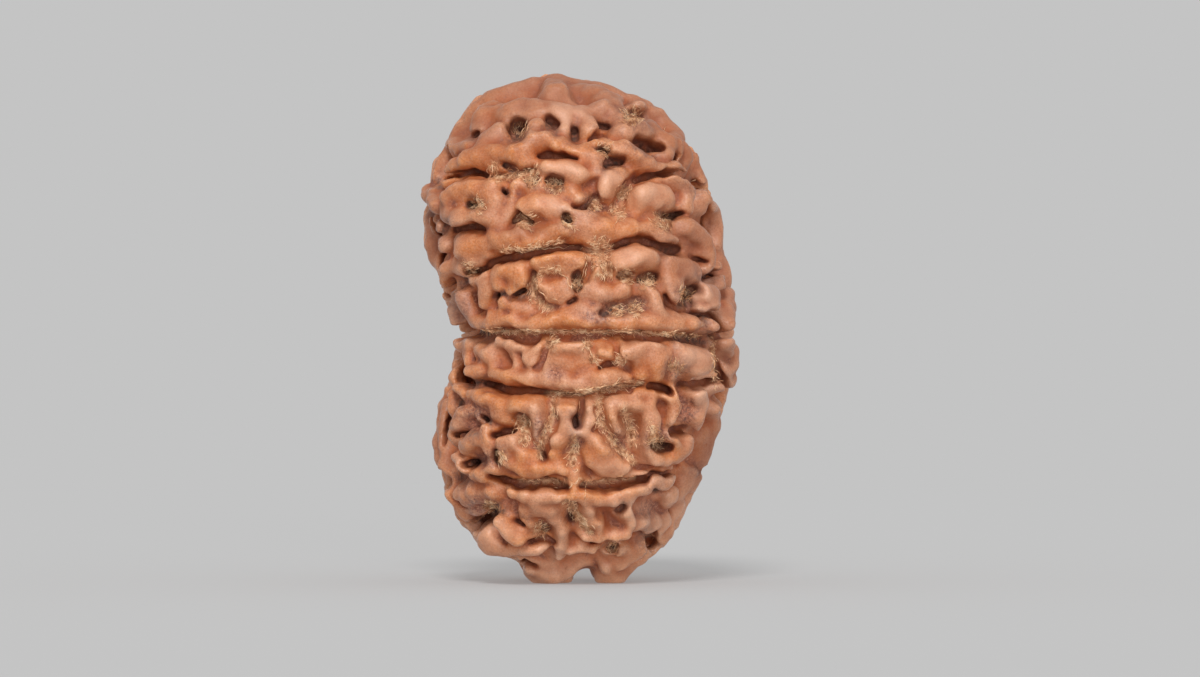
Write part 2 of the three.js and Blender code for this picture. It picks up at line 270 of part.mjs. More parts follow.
// Cuts of the front: [name, radius, depth below the body, [[x, z], ...]]
const CUTS = [
  // First line, a row of pits under the cap
  ["left fold groove", 0.13, 0.0, [[-6.0, 28.3], [-6.15, 27.8]]],
  ["gap under the fold", 0.16, 0.1, [[-6.3, 26.75], [-6.45, 26.55]]],
  ["scooped pit", 0.5, 1.1, [[-3.7, 27.15], [-3.9, 26.8]]],
  ["second pit", 0.26, 0.7, [[-2.1, 27.4], [-1.65, 27.05]]],
  ["third pit", 0.24, 0.7, [[-0.5, 26.9], [-0.5, 26.5]]],
  ["small pit", 0.17, 0.4, [[1.05, 27.4], [1.6, 27.25]]],
  ["nose slot", 0.13, 0.4, [[0.4, 26.4], [0.85, 26.7], [1.25, 26.8]]],
  ["lens pit", 0.2, 0.1, [[1.1, 25.85], [1.5, 25.8]]],
  ["fibre pit", 0.5, 0.6, [[2.8, 27.95], [3.4, 27.65]]],
  ["cheek pit", 0.33, 0.8, [[3.2, 26.05], [3.7, 25.9], [4.2, 25.65]]],
  ["seam notch", 0.17, 0.2, [[5.2, 25.3], [5.15, 24.95]]],
  ["round dark hole", 0.33, 0.1, [[6.6, 23.85], [6.95, 23.7]]],
  ["temple slot", 0.2, 0.7, [[-8.25, 25.1], [-8.05, 25.45], [-7.5, 25.6], [-7.1, 25.6]]],
  ["temple hole", 0.2, 0.7, [[-8.65, 24.1], [-8.5, 23.75]]],

  // Second line
  ["brow undercut", 0.17, 0.7, [[-8.0, 23.55], [-7.5, 24.0], [-6.9, 24.4], [-6.2, 24.45], [-5.6, 24.2]]],
  ["second line left", 0.08, 0.3, [[-5.4, 24.2], [-4.6, 24.2], [-4.0, 24.35], [-3.2, 24.55], [-2.7, 24.6]]],
  ["hole left of the pillow", 0.2, 0.2, [[-4.6, 24.9], [-4.1, 24.65]]],
  ["slot over the pillow", 0.2, 0.7, [[-2.3, 25.4], [-1.9, 25.5], [-1.1, 25.3, 0.16], [-0.2, 25.05, 0.08]]],
  ["pit right of the web", 0.26, 0.5, [[1.4, 24.8], [1.7, 25.15], [2.2, 25.0]]],
  ["slot over the pink pillow", 0.19, 0.8, [[3.0, 23.95], [3.6, 24.15], [4.4, 24.15], [5.1, 24.0],
   [5.6, 23.6], [5.8, 23.0, 0.1], [5.75, 22.4, 0.1]]],
  ["left scratch pit", 0.26, 0.0, [[-3.1, 23.95], [-2.8, 23.85]]],
  ["curly pit", 0.28, 0.5, [[-1.9, 23.8], [-1.35, 23.65]]],

  // Between the second and third lines
  ["boss pit", 0.28, 0.0, [[-6.5, 22.6], [-6.15, 22.55]]],
  ["boss undercut", 0.16, 0.4, [[-7.35, 21.05], [-6.8, 21.25], [-6.2, 21.2], [-5.75, 21.05]]],
  ["outline hole", 0.22, 0.6, [[-9.0, 22.3], [-9.0, 22.0]]],
  ["fin hole", 0.17, 0.5, [[-8.45, 21.0], [-8.15, 21.2], [-8.05, 21.6]]],
  ["fin groove", 0.12, 0.4, [[-7.9, 20.2], [-8.1, 19.6], [-8.35, 19.0]]],
  ["pin hole", 0.12, 0.6, [[-4.45, 23.3], [-4.35, 23.1]]],
  ["slot left of the pad", 0.2, 0.6, [[-4.0, 21.65], [-3.6, 21.85], [-3.25, 21.5], [-2.95, 21.3]]],
  ["pit under the pad", 0.24, 0.2, [[-0.95, 21.8], [-0.9, 21.45]]],
  ["slot under the saddle", 0.14, 0.5, [[-0.4, 22.4], [0.05, 22.5], [0.35, 22.8]]],
  ["fibre channel", 0.24, 0.2, [[3.3, 24.0], [2.6, 23.7], [2.35, 23.1], [2.25, 22.5], [1.8, 22.0]]],
  ["striped channel", 0.2, 0.2, [[0.65, 23.0], [0.75, 22.4], [1.3, 22.15]]],
  ["hole under the pink pillow", 0.18, 0.7, [[4.7, 21.85], [5.1, 21.9], [5.5, 22.0]]],
  ["seam beside the roll", 0.14, 0.5, [[6.5, 22.2], [7.1, 21.9], [7.5, 21.0], [7.85, 20.2]]],
  ["slot under the roll", 0.1, 0.1, [[6.3, 19.5], [6.7, 19.35], [7.05, 19.2]]],

  // Third line
  ["third line left", 0.2, 0.8, [[-5.3, 19.15], [-4.5, 19.4], [-3.8, 19.45], [-3.1, 19.45], [-2.5, 19.75],
   [-1.8, 19.9], [-1.0, 20.0], [-0.1, 20.0]]],
  ["third line far left", 0.14, 0.5, [[-6.6, 18.8], [-6.0, 18.9], [-5.3, 19.05]]],
  ["third line fibres", 0.13, 0.2, [[-0.1, 19.95], [0.8, 19.85], [1.6, 19.8]]],
  ["third line right", 0.2, 0.8, [[1.9, 20.1], [2.5, 20.3], [3.2, 20.5], [3.9, 20.35], [4.5, 20.05],
   [4.9, 19.85], [5.4, 19.85]]],
  ["third line pocket", 0.3, 0.8, [[4.9, 19.85], [5.3, 19.9]]],

  // Between the third and fourth lines
  ["hole behind the thumb", 0.2, 0.8, [[-7.4, 17.55], [-7.1, 17.9], [-6.9, 18.2]]],
  ["thumb groove", 0.15, -0.2, [[-6.5, 17.5], [-6.3, 17.0], [-6.1, 16.4]]],
  ["column hole", 0.14, 0.6, [[-4.8, 17.25], [-4.6, 17.25]]],
  ["lump hole", 0.18, 0.7, [[-3.7, 17.2], [-3.25, 17.35]]],
  ["ring groove", 0.14, 0.1, [[-2.9, 18.4], [-2.95, 17.7], [-2.8, 17.1], [-2.4, 16.7]]],
  ["ring crack", 0.12, -0.6, [[-2.4, 17.95], [-2.0, 18.15], [-1.4, 18.25]]],
  ["ring right pit", 0.25, 0.2, [[-0.4, 18.3], [-0.25, 17.6]]],
  ["low crack", 0.13, 0.1, [[-0.75, 16.8], [-0.35, 17.0]]],
  ["strand groove", 0.16, -0.3, [[0.35, 19.4], [0.3, 18.8], [0.05, 18.1]]],
  ["fibre column", 0.22, -0.4, [[1.3, 19.5], [1.35, 18.9], [1.6, 18.2]]],
  ["egg shadow", 0.25, 0.1, [[2.2, 18.35], [2.9, 18.15]]],
  ["hole under the egg", 0.2, 0.4, [[3.4, 18.0], [3.9, 18.1], [4.3, 18.1]]],
  ["frayed pit", 0.26, -0.2, [[1.3, 16.1], [1.9, 16.4], [2.5, 16.3]]],
  ["frayed pit right", 0.24, 0.1, [[2.8, 16.4], [3.4, 16.7]]],
  ["leaf fold", 0.13, 0.4, [[4.9, 17.0], [5.1, 16.5], [5.6, 16.2], [6.3, 16.1], [6.9, 15.95]]],
  ["pit beside the knob", 0.34, 0.5, [[6.5, 17.6], [6.05, 17.2], [5.95, 16.75], [6.3, 16.7]]],
  ["corner hole", 0.17, 0.7, [[6.9, 18.1], [7.3, 18.35], [7.6, 18.3]]],
  ["dark gap at the finger", 0.26, 0.7, [[7.1, 16.0], [7.5, 15.7], [7.65, 15.2], [7.6, 14.9]]],

  // Fourth line, the long straight one
  ["fourth line", 0.13, 0.1, [[-7.0, 15.05], [-5.9, 15.05], [-4.5, 14.98], [-3.0, 14.95], [-1.5, 14.93],
   [0.0, 14.95], [1.5, 14.93], [3.0, 14.95], [4.5, 14.85], [5.5, 14.75], [6.5, 14.65], [7.5, 14.65],
   [8.3, 14.8]]],
  ["fourth line left mouth", 0.24, 0.8, [[-6.6, 15.0], [-6.0, 15.05], [-5.6, 14.95]]],
  ["fourth line shelf left", 0.22, 0.2, [[-4.5, 14.7], [-3.7, 14.65], [-2.7, 14.6]]],
  ["fourth line shelf middle", 0.24, 0.3, [[-1.4, 14.6], [-0.7, 14.65], [0.0, 14.6]]],
  ["fourth line shelf right", 0.24, 0.3, [[2.6, 14.65], [3.4, 14.75], [4.4, 14.65]]],
  ["gap behind the fist", 0.25, 0.6, [[5.6, 14.55], [6.5, 14.5], [7.3, 14.4]]],
  ["right seam", 0.19, 0.2, [[7.7, 14.5], [7.8, 13.8], [7.9, 13.0], [7.95, 12.4], [7.9, 11.7]]],
  ["dimple", 0.24, -0.5, [[-4.7, 13.4], [-4.3, 13.35]]],
  ["curl crack", 0.1, -0.5, [[-2.25, 13.9], [-2.3, 13.4], [-2.7, 13.0]]],
  ["pad crack", 0.12, 0.0, [[1.1, 12.95], [1.6, 13.15], [1.95, 13.15]]],
  ["crack beside the body", 0.12, -0.4, [[2.1, 14.4], [1.95, 13.9], [2.2, 13.4], [2.9, 13.2]]],

  // Fifth line
  ["fifth line far left", 0.13, 0.6, [[-7.5, 13.05], [-7.0, 12.7], [-6.6, 12.35], [-6.1, 12.3]]],
  ["fifth line pocket", 0.27, 0.9, [[-6.6, 11.95], [-6.1, 12.0], [-5.85, 12.05]]],
  ["fifth line left", 0.23, 0.9, [[-5.2, 12.0], [-4.6, 11.75], [-4.0, 11.5], [-3.4, 11.4], [-2.8, 11.4],
   [-2.2, 11.3, 0.15]]],
  ["fifth line middle", 0.09, 0.4, [[-2.2, 11.4], [-1.2, 11.4], [0.0, 11.45], [1.2, 11.65], [2.4, 11.85],
   [3.5, 12.0]]],
  ["fifth line shelf", 0.2, 0.2, [[1.3, 11.3], [2.0, 11.55], [2.8, 11.6]]],
  ["fifth line right", 0.24, 0.9, [[3.9, 11.85], [4.4, 11.7], [4.9, 11.6]]],
  ["fifth line far right", 0.19, 0.7, [[5.7, 12.0], [6.4, 11.9], [7.1, 12.05], [7.5, 12.4]]],

  // Between the fifth and sixth lines
  ["finger hole", 0.2, 0.8, [[-7.2, 10.85], [-7.45, 10.3], [-7.8, 9.95]]],
  ["fin crack", 0.12, 0.5, [[-8.25, 9.7], [-8.15, 9.1], [-7.9, 8.4]]],
  ["hole above the star", 0.15, 0.5, [[-5.65, 9.75], [-5.4, 9.6]]],
  ["hole left of the star", 0.16, 0.7, [[-6.8, 8.9], [-6.3, 8.85]]],
  ["slot right of the star", 0.2, 0.7, [[-4.9, 8.85], [-4.4, 9.15], [-3.85, 9.2]]],
  ["fibre hollow", 0.28, 0.2, [[-3.7, 9.9], [-3.35, 9.5]]],
  ["pit under the star", 0.22, 0.3, [[-4.85, 7.9], [-4.8, 7.4]]],
  ["pit left of the pad", 0.24, 0.7, [[-6.4, 7.15], [-6.0, 7.3]]],
  ["low left hole", 0.23, 0.7, [[-7.45, 6.5], [-7.2, 6.3], [-6.9, 6.2]]],
  ["left fibre strip", 0.22, -0.4, [[-1.65, 11.0], [-1.75, 10.2], [-1.95, 9.5], [-2.25, 8.9], [-2.3, 8.2]]],
  ["low slit", 0.16, 0.4, [[-2.4, 7.9], [-2.25, 7.6]]],
  ["arch pit", 0.22, 0.6, [[-0.35, 10.0], [-0.25, 9.7]]],
  ["strip right of the bar", 0.16, 0.0, [[0.0, 10.9], [-0.1, 10.2]]],
  ["arch hollow", 0.3, -0.4, [[-0.4, 8.6], [-0.5, 8.0], [-0.6, 7.2]]],
  ["right fibre strip", 0.2, -0.2, [[1.0, 11.3], [0.95, 10.4], [1.05, 9.6], [1.4, 9.0], [1.9, 8.4],
   [2.6, 7.7], [3.2, 7.3]]],
  ["shield hollow", 0.33, 0.1, [[2.65, 10.0], [2.9, 9.4], [3.0, 8.8]]],
  ["crack by the slim block", 0.13, -0.2, [[4.85, 10.7], [4.75, 10.0]]],
  ["brown slot", 0.24, 0.7, [[5.0, 9.25], [5.6, 9.3], [6.1, 9.45]]],
  ["pit inside the hook", 0.24, 0.5, [[4.0, 8.55], [4.5, 8.4], [4.9, 8.45]]],
  ["slot at the lobe", 0.17, 0.0, [[3.4, 6.95], [3.9, 6.9]]],

  // Sixth line
  ["sixth line left", 0.2, 0.9, [[-4.9, 6.7], [-4.3, 6.4], [-3.6, 6.1], [-2.8, 6.1], [-2.0, 6.15],
   [-1.4, 6.0], [-0.9, 5.9]]],
  ["sixth line right", 0.24, 0.9, [[0.0, 6.05], [0.7, 6.0], [1.4, 6.0], [2.2, 6.15], [3.0, 6.35],
   [3.5, 6.4]]],
  ["sixth line far right", 0.12, 0.4, [[3.9, 6.6], [4.6, 6.65], [5.3, 6.8], [5.7, 7.05]]],
  ["outline dark hole", 0.24, -0.2, [[6.95, 6.75], [7.0, 6.6]]],

  // Between the sixth and seventh lines
  ["big dark hole", 0.28, 0.9, [[-6.0, 3.75], [-5.5, 3.95], [-5.1, 4.25], [-4.8, 4.3]]],
  ["corner crack", 0.14, 0.5, [[-6.4, 3.4], [-6.1, 3.6]]],
  ["frayed hole", 0.24, 0.3, [[-5.4, 4.6], [-5.1, 4.6]]],
  ["crack between the lobes", 0.1, -0.5, [[-4.95, 3.3], [-4.75, 2.75], [-4.5, 2.4]]],
  ["hole over the second lobe", 0.15, 0.1, [[-3.75, 3.95], [-3.35, 3.85]]],
  ["low left groove", 0.2, 0.2, [[-2.9, 2.75], [-2.2, 2.75], [-1.6, 2.5]]],
  ["low pin hole", 0.14, 0.5, [[-2.3, 3.45], [-2.1, 3.4]]],
  ["low fibre strip", 0.23, -0.3, [[-0.9, 4.9], [-0.45, 4.4], [-0.1, 3.8], [0.2, 3.3]]],
  ["hole beside the strip", 0.16, 0.5, [[-0.65, 4.1], [-0.55, 3.9]]],
  ["hole in the bowl", 0.2, 0.1, [[2.45, 4.75], [2.2, 4.4]]],
  ["bowl", 0.4, -0.4, [[1.3, 3.9], [1.9, 3.5]]],
  ["red hollow", 0.32, 0.0, [[3.2, 4.8], [3.5, 4.4], [3.9, 4.35]]],
  ["small holes", 0.17, 0.2, [[4.05, 5.7], [4.5, 5.5]]],
  ["low right hole", 0.36, 0.3, [[3.9, 3.0], [3.8, 2.7], [3.9, 2.4]]],

  // Seventh line
  ["seventh line right", 0.1, 0.1, [[0.5, 2.4], [1.2, 2.45], [2.1, 2.35]]],
  ["seventh line pit", 0.18, 0.2, [[1.5, 2.2], [1.9, 2.1]]],
  ["foot slot", 0.15, 0.4, [[-3.6, 1.6], [-3.1, 1.65], [-2.6, 1.5]]],
  ["notch under the outer ear", 0.3, 0.2, [[8.4, 11.3], [9.2, 11.2]]],
  ["notch under the long fin", 0.3, 0.3, [[-9.2, 6.5], [-8.5, 6.6]]],
];

// Hollows under the seed, beside and between its feet: [[x, y], [x, y], radius, height of the middle]
const NOTCHES = [
  [[-4.9, -6], [-4.9, 6], 1.5, 0.1],
  [[0.2, -6], [0.2, 6], 0.75, 0.2],
  [[-6, 0.1], [6, 0.1], 0.7, 0.15],
];

// Feet under the weight: [x, y, radius, height of the middle]
const FEET = [
  [-2.0, -1.8, 1.15, 0.75],
  [1.7, -1.6, 1.1, 0.75],
  [-1.8, 1.9, 1.15, 0.75],
  [1.7, 1.8, 1.1, 0.75],
];

// Grooves across the poles, where the kidney folds: [radius, depth, [[x, y, z], ...]]
const POLE_CUTS = [
  [0.35, 0.3, [[-8.5, -3.2, 15.0], [-8.5, -1.6, 14.95], [-8.5, 0, 15.0], [-8.5, 1.8, 15.1],
    [-8.5, 3.6, 15.0]]],
  [0.3, -0.2, [[9, -2.5, 15.1], [9, -0.8, 15.05], [9, 1, 15.1]]],
];

// Angles of the lines round the back, in degrees about X: 0 is the front, 90 the top, 180 the back
const BACK_LINES = [98, 120, 142, 164, 186, 208, 230, 252, 276];
const BACK_FIRST_EDGE = 84;
const BACK_LAST_EDGE = 292;
const BACK_SEED = 41;

const radians = (degrees) => (degrees * Math.PI) / 180;

// Repeatable draws between 0 and 1
function makeDraw(seed) {
  let state = seed;
  return (low = 0, high = 1) => {
    state = (state * 16807) % 2147483647;
    return low + (high - low) * (state / 2147483647);
  };
}

// 1 on the body's surface, less inside
function bodyGauge(x, y, z) {
  const rise = z - BODY_MIDDLE;
  const fullness = rise > 0 ? TOP_FULLNESS : BOTTOM_FULLNESS;
  const waist = Math.exp(-(((z - WAIST_HEIGHT) / WAIST_REACH) ** 2));
  const lean = TOP_LEAN * (Math.max(rise, 0) / BODY_TOP_HEIGHT) ** 3;
  const middle = ENDS_SHIFT + lean + WAIST_SHIFT * waist;
  const lower = (1 - Math.tanh(rise / 4)) / 2;
  const halfWidth = (BODY_HALF_WIDTH - LOWER_NARROWING * lower) * (1 - WAIST_NARROWING * waist);
  const across = Math.abs(x - middle) / halfWidth;
  const along = Math.abs(y) / BODY_HALF_DEPTH;
  const section = (across ** SECTION_FULLNESS + along ** SECTION_FULLNESS) ** (1 / SECTION_FULLNESS);
  const height = Math.abs(rise) / (rise > 0 ? BODY_TOP_HEIGHT : BODY_BOTTOM_DEPTH);
  return (section ** fullness + height ** fullness) ** (1 / fullness);
}

function gaugeSlope(x, y, z) {
  const step = 0.01;
  return [
    (bodyGauge(x + step, y, z) - bodyGauge(x - step, y, z)) / (2 * step),
    (bodyGauge(x, y + step, z) - bodyGauge(x, y - step, z)) / (2 * step),
    (bodyGauge(x, y, z + step) - bodyGauge(x, y, z - step)) / (2 * step),
  ];
}

function bodyDistance(x, y, z) {
  return (bodyGauge(x, y, z) - 1) / Math.hypot(...gaugeSlope(x, y, z));
}

function bodyNormal(x, y, z) {
  const slope = gaugeSlope(x, y, z);
  const length = Math.hypot(...slope);
  return slope.map((s) => s / length);
}

// Moves a point onto the surface that lies at this level above the body
function settle(point, level) {
  let [x, y, z] = point;
  for (let turn = 0; turn < 6; turn++) {
    const gap = bodyDistance(x, y, z) - level;
    const [nx, ny, nz] = bodyNormal(x, y, z);
    x -= nx * gap;
    y -= ny * gap;
    z -= nz * gap;
  }
  return [x, y, z];
}

// The point at this level that is seen at x, z from the front, or the nearest one on the outline
function frontPoint(x, z, level) {
  let outside = -13;
  let inside = null;
  for (let y = outside; y <= 0; y += 0.2) {
    if (bodyDistance(x, y, z - y * SIGHT_SLOPE) <= level) {
      inside = y;
      break;
    }
    outside = y;
  }
  if (inside === null) return settle([x, 0, z], level);
  for (let turn = 0; turn < 20; turn++) {
    const half = (outside + inside) / 2;
    if (bodyDistance(x, half, z - half * SIGHT_SLOPE) <= level) inside = half;
    else outside = half;
  }
  return [x, inside, z - inside * SIGHT_SLOPE];
}

// The point at this level in the direction with this angle about X and this angle towards the right pole
function roundPoint(turnDegrees, poleDegrees, level) {
  const turn = radians(turnDegrees);
  const pole = radians(poleDegrees);
  const x = BODY_HALF_WIDTH * Math.sin(pole);
  const y = -BODY_HALF_DEPTH * Math.cos(pole) * Math.cos(turn);
  const z = BODY_MIDDLE + BODY_TOP_HEIGHT * Math.cos(pole) * Math.sin(turn);
  return settle([x, y, z], level);
}

// A stroke is a chain of capsules: its axis points, radii and normals, and its line on the body
function makeStroke(points, radii) {
  const line = points.map((p) => settle(p, 0));
  const steps = line.slice(1).map((p, i) => Math.hypot(...p.map((value, k) => value - line[i][k])));
  const length = steps.reduce((sum, step) => sum + step, 0);
  return { points, radii, normals: points.map((p) => bodyNormal(...p)), line, length };
}

function frontRidge([, radius, crest, path]) {
  const radii = path.map((point) => point[2] ?? radius);
  return makeStroke(path.map(([x, z], i) => frontPoint(x, z, crest + EXTRA_CREST - radii[i])), radii);
}

function frontCut([, radius, depth, path]) {
  const radii = path.map((point) => Math.max(point[2] ?? radius, LEAST_CUT_RADIUS));
  const floor = Math.min(depth - CUT_LIFT, DEEPEST_CUT);
  const stroke = makeStroke(path.map(([x, z], i) => frontPoint(x, z, radii[i] - floor)), radii);
  stroke.normals = stroke.normals.map(([nx, ny, nz]) => {
    const length = Math.hypot(nx, ny - CUT_LEAN, nz);
    return [nx / length, (ny - CUT_LEAN) / length, nz / length];
  });
  return stroke;
}

// One line of the back wavers a little about its own angle
function makeWaver(draw) {
  const reach = draw(0.8, 2.2);
  const waves = draw(2.2, 4.2);
  const start = draw(0, 6.28);
  return (pole) => reach * Math.sin(waves * radians(pole) + start);
}

// Lips beside the lines of the back, ribs across the bands, pits between them, and the lines themselves
function backRelief() {
  const draw = makeDraw(BACK_SEED);
  const ridges = [];
  const cuts = [];
  const edges = [BACK_FIRST_EDGE, ...BACK_LINES, BACK_LAST_EDGE];
  const wavers = edges.map(() => makeWaver(draw));
  const ridge = (path, radius, crest) => {
    const points = path.map(([turn, pole]) => roundPoint(turn, pole, crest + EXTRA_CREST - radius));
    ridges.push(makeStroke(points, path.map(() => radius)));
  };
  const cut = (path, radius, depth) => {
    const wide = Math.max(radius, LEAST_CUT_RADIUS);
    const floor = Math.min(depth - CUT_LIFT, DEEPEST_CUT);
    const points = path.map(([turn, pole]) => roundPoint(turn, pole, wide - floor));
    cuts.push(makeStroke(points, path.map(() => wide)));
  };
  for (let band = 0; band + 1 < edges.length; band++) {
    const lower = (pole) => edges[band] + wavers[band](pole);
    const upper = (pole) => edges[band + 1] + wavers[band + 1](pole);
    // Broken lips along both sides of the band
    for (const side of [0, 1]) {
      let pole = -70 + draw(0, 6);
      while (pole < 66) {
        const length = draw(10, 34);
        const end = Math.min(pole + length, 72);
        const offset = draw(4.0, 5.4);
        const path = [];
        for (let at = pole; at <= end; at += 6) {
          const inset = offset + draw(-0.9, 0.9);
          path.push([side ? upper(at) - inset : lower(at) + inset, at]);
        }
        if (path.length > 1) ridge(path, draw(0.4, 0.56), draw(0.95, 1.3));
        pole = end + draw(4, 8);
      }
    }
    // Ribs and knobs across the band, with pits between them
    let pole = -60 + draw(0, 8);
    while (pole < 60) {
      const from = lower(pole) + 4.5;
      const to = upper(pole) - 4.5;
      const kind = draw();
      if (kind < 0.55) {
        const lean = draw(-7, 7);
        const middle = (from + to) / 2 + draw(-2, 2);
        ridge([[from, pole - lean], [middle, pole + draw(-2, 2)], [to, pole + lean]], draw(0.36, 0.55),
          draw(0.8, 1.2));
      } else {
        const centre = (from + to) / 2 + draw(-3, 3);
        ridge([[centre - draw(0.5, 2.5), pole - draw(1, 4)], [centre + draw(0.5, 2.5), pole + draw(1, 4)]],
          draw(0.5, 0.75), draw(1.0, 1.35));
      }
      const step = draw(11, 17);
      if (draw() < 0.7) {
        const centre = (lower(pole) + upper(pole)) / 2 + draw(-4, 4);
        const beside = pole + step / 2;
        cut([[centre - 1, beside - 1], [centre + 1, beside + 1]], draw(0.2, 0.34), draw(0.1, 0.7));
      }
      pole += step;
    }
    // The line at the upper edge of the band, bridged here and there
    if (band + 2 < edges.length) {
      let start = -68;
      while (start < 60) {
        const end = Math.min(start + draw(24, 52), 68);
        const path = [];
        for (let at = start; at <= end; at += 6) path.push([upper(at), at]);
        if (path.length > 1) cut(path, draw(0.14, 0.24), draw(0.7, 1.0));
        start = end + draw(4, 7);
      }
    }
  }
  for (const [radius, depth, path] of POLE_CUTS) {
    cuts.push(makeStroke(path.map((point) => settle(point, radius - depth)), path.map(() => radius)));
  }
  // The slit at each pole where the lines end, and the rolls behind it
  for (const side of [-1, 1]) {
    const slit = [];
    for (let z = 8; z <= 23; z += 1.5) slit.push(settle([9 * side, 0.5 + draw(-0.35, 0.35), z], -0.3));
    cuts.push(makeStroke(slit, slit.map(() => LEAST_CUT_RADIUS)));
    for (let z = 4.5; z <= 25; z += 2.1) {
      const near = settle([8.5 * side, draw(1.2, 1.7), z], 0.5 + EXTRA_CREST);
      const far = settle([8.3 * side, draw(1.9, 2.8), z + draw(0.6, 1.4)], 0.5 + EXTRA_CREST);
      const radius = draw(0.45, 0.62);
      ridges.push(makeStroke([near, far], [radius, radius]));
    }
  }
  return { ridges, cuts };
}

// Distance to one capsule of a stroke. A ridge's is flared: its flanks widen below its axis.
function capsuleDistance(x, y, z, stroke, i, flared) {
  const [ax, ay, az] = stroke.points[i];
  const [bx, by, bz] = stroke.points[Math.min(i + 1, stroke.points.length - 1)];
  let px = x - ax;
  let py = y - ay;
  let pz = z - az;
  let drop = 0;
  if (flared) {
    const [nx, ny, nz] = stroke.normals[i];
    const rise = px * nx + py * ny + pz * nz;
    drop = Math.min(Math.max(-rise, 0), FLARE_DEPTH);
    px += nx * drop;
    py += ny * drop;
    pz += nz * drop;
  }
  const dx = bx - ax;
  const dy = by - ay;
  const dz = bz - az;
  const length = dx * dx + dy * dy + dz * dz;
  const share = length > 0 ? Math.min(1, Math.max(0, (px * dx + py * dy + pz * dz) / length)) : 0;
  const first = stroke.radii[i];
  const last = stroke.radii[Math.min(i + 1, stroke.radii.length - 1)];
  const radius = first + (last - first) * share + RIDGE_FLARE * drop;
  return Math.hypot(px - dx * share, py - dy * share, pz - dz * share) - radius;
}

// Distance to one capsule of a cut, which is open above its axis along the cut's normal
function slotDistance(x, y, z, stroke, i) {
  const [ax, ay, az] = stroke.points[i];
  const [bx, by, bz] = stroke.points[Math.min(i + 1, stroke.points.length - 1)];
  const [nx, ny, nz] = stroke.normals[i];
  const rise = (x - ax) * nx + (y - ay) * ny + (z - az) * nz;
  const climb = (bx - ax) * nx + (by - ay) * ny + (bz - az) * nz;
  const px = x - ax - nx * rise;
  const py = y - ay - ny * rise;
  const pz = z - az - nz * rise;
  const dx = bx - ax - nx * climb;
  const dy = by - ay - ny * climb;
  const dz = bz - az - nz * climb;
  const length = dx * dx + dy * dy + dz * dz;
  const share = length > 0 ? Math.min(1, Math.max(0, (px * dx + py * dy + pz * dz) / length)) : 0;
  const below = Math.min(rise - climb * share, 0);
  const first = stroke.radii[i];
  const last = stroke.radii[Math.min(i + 1, stroke.radii.length - 1)];
  const radius = first + (last - first) * share;
  return Math.hypot(px - dx * share, py - dy * share, pz - dz * share, below) - radius;
}

// The capsules of all strokes that may reach within this distance of a point
function capsulesNear(strokes, point, reach) {
  const near = [];
  for (const stroke of strokes) {
    for (let i = 0; i < Math.max(1, stroke.points.length - 1); i++) {
      const a = stroke.points[i];
      const b = stroke.points[Math.min(i + 1, stroke.points.length - 1)];
      const half = Math.hypot(b[0] - a[0], b[1] - a[1], b[2] - a[2]) / 2;
      const off = Math.hypot(...point.map((p, k) => (a[k] + b[k]) / 2 - p));
      if (off < half + Math.max(...stroke.radii) + reach) near.push([stroke, i]);
    }
  }
  return near;
}

const strokesOf = (capsules) => [...new Set(capsules.map(([stroke]) => stroke))];

function blendedLeast(a, b, blend) {
  const overlap = Math.max(blend - Math.abs(a - b), 0) / blend;
  return Math.min(a, b) - (overlap * overlap * blend) / 4;
}

// Below 0 inside the seed, at a point that lies at this level above the body
function seedField(x, y, z, level, ridges, cuts) {
  let ridged = HIGHEST_RELIEF + 1;
  for (const [stroke, i] of ridges) {
    ridged = blendedLeast(ridged, capsuleDistance(x, y, z, stroke, i, true), RIDGE_BLEND);
  }
  let field = blendedLeast(level, ridged, FLANK_BLEND);
  for (const [stroke, i] of cuts) {
    field = -blendedLeast(-field, slotDistance(x, y, z, stroke, i), CUT_BLEND);
  }
  for (const [[ax, ay], [bx, by], radius, middle] of NOTCHES) {
    const run = { points: [[ax, ay, middle], [bx, by, middle]], radii: [radius, radius] };
    field = -blendedLeast(-field, capsuleDistance(x, y, z, run, 0, false), RIDGE_BLEND);
  }
  for (const [fx, fy, radius, middle] of FEET) {
    const foot = Math.hypot(x - fx, y - fy, z - middle) - radius;
    field = blendedLeast(field, foot, RIDGE_BLEND);
  }
  return Math.max(field, -z);
}

// The level of the outermost surface over one point of the body
function reliefLevel(point, normal, ridges, cuts) {
  const fieldAt = (level) => {
    const [x, y, z] = point.map((p, k) => p + normal[k] * level);
    return seedField(x, y, z, level, ridges, cuts);
  };
  let inside = HIGHEST_RELIEF;
  while (inside > -1 && fieldAt(inside) > 0) inside -= 0.08;
  let outside = inside + 0.08;
  for (let turn = 0; turn < 14; turn++) {
    const half = (inside + outside) / 2;
    if (fieldAt(half) > 0) outside = half;
    else inside = half;
  }
  return inside;
}

// The mean level round a point of the body, so that each corner stands for its share of the relief
function meanLevel(point, normal, ridges, cuts) {
  const sideways = new THREE.Vector3(...normal).cross(new THREE.Vector3(0.3, 0.5, 0.8)).normalize();
  const upwards = new THREE.Vector3(...normal).cross(sideways);
  let sum = reliefLevel(point, normal, ridges, cuts);
  for (let i = 0; i < MEAN_COUNT; i++) {
    const turn = (2 * Math.PI * i) / MEAN_COUNT;
    const beside = new THREE.Vector3(...point)
      .addScaledVector(sideways, MEAN_RADIUS * Math.cos(turn))
      .addScaledVector(upwards, MEAN_RADIUS * Math.sin(turn));
    sum += reliefLevel(beside.toArray(), normal, ridges, cuts);
  }
  return sum / (MEAN_COUNT + 1);
}

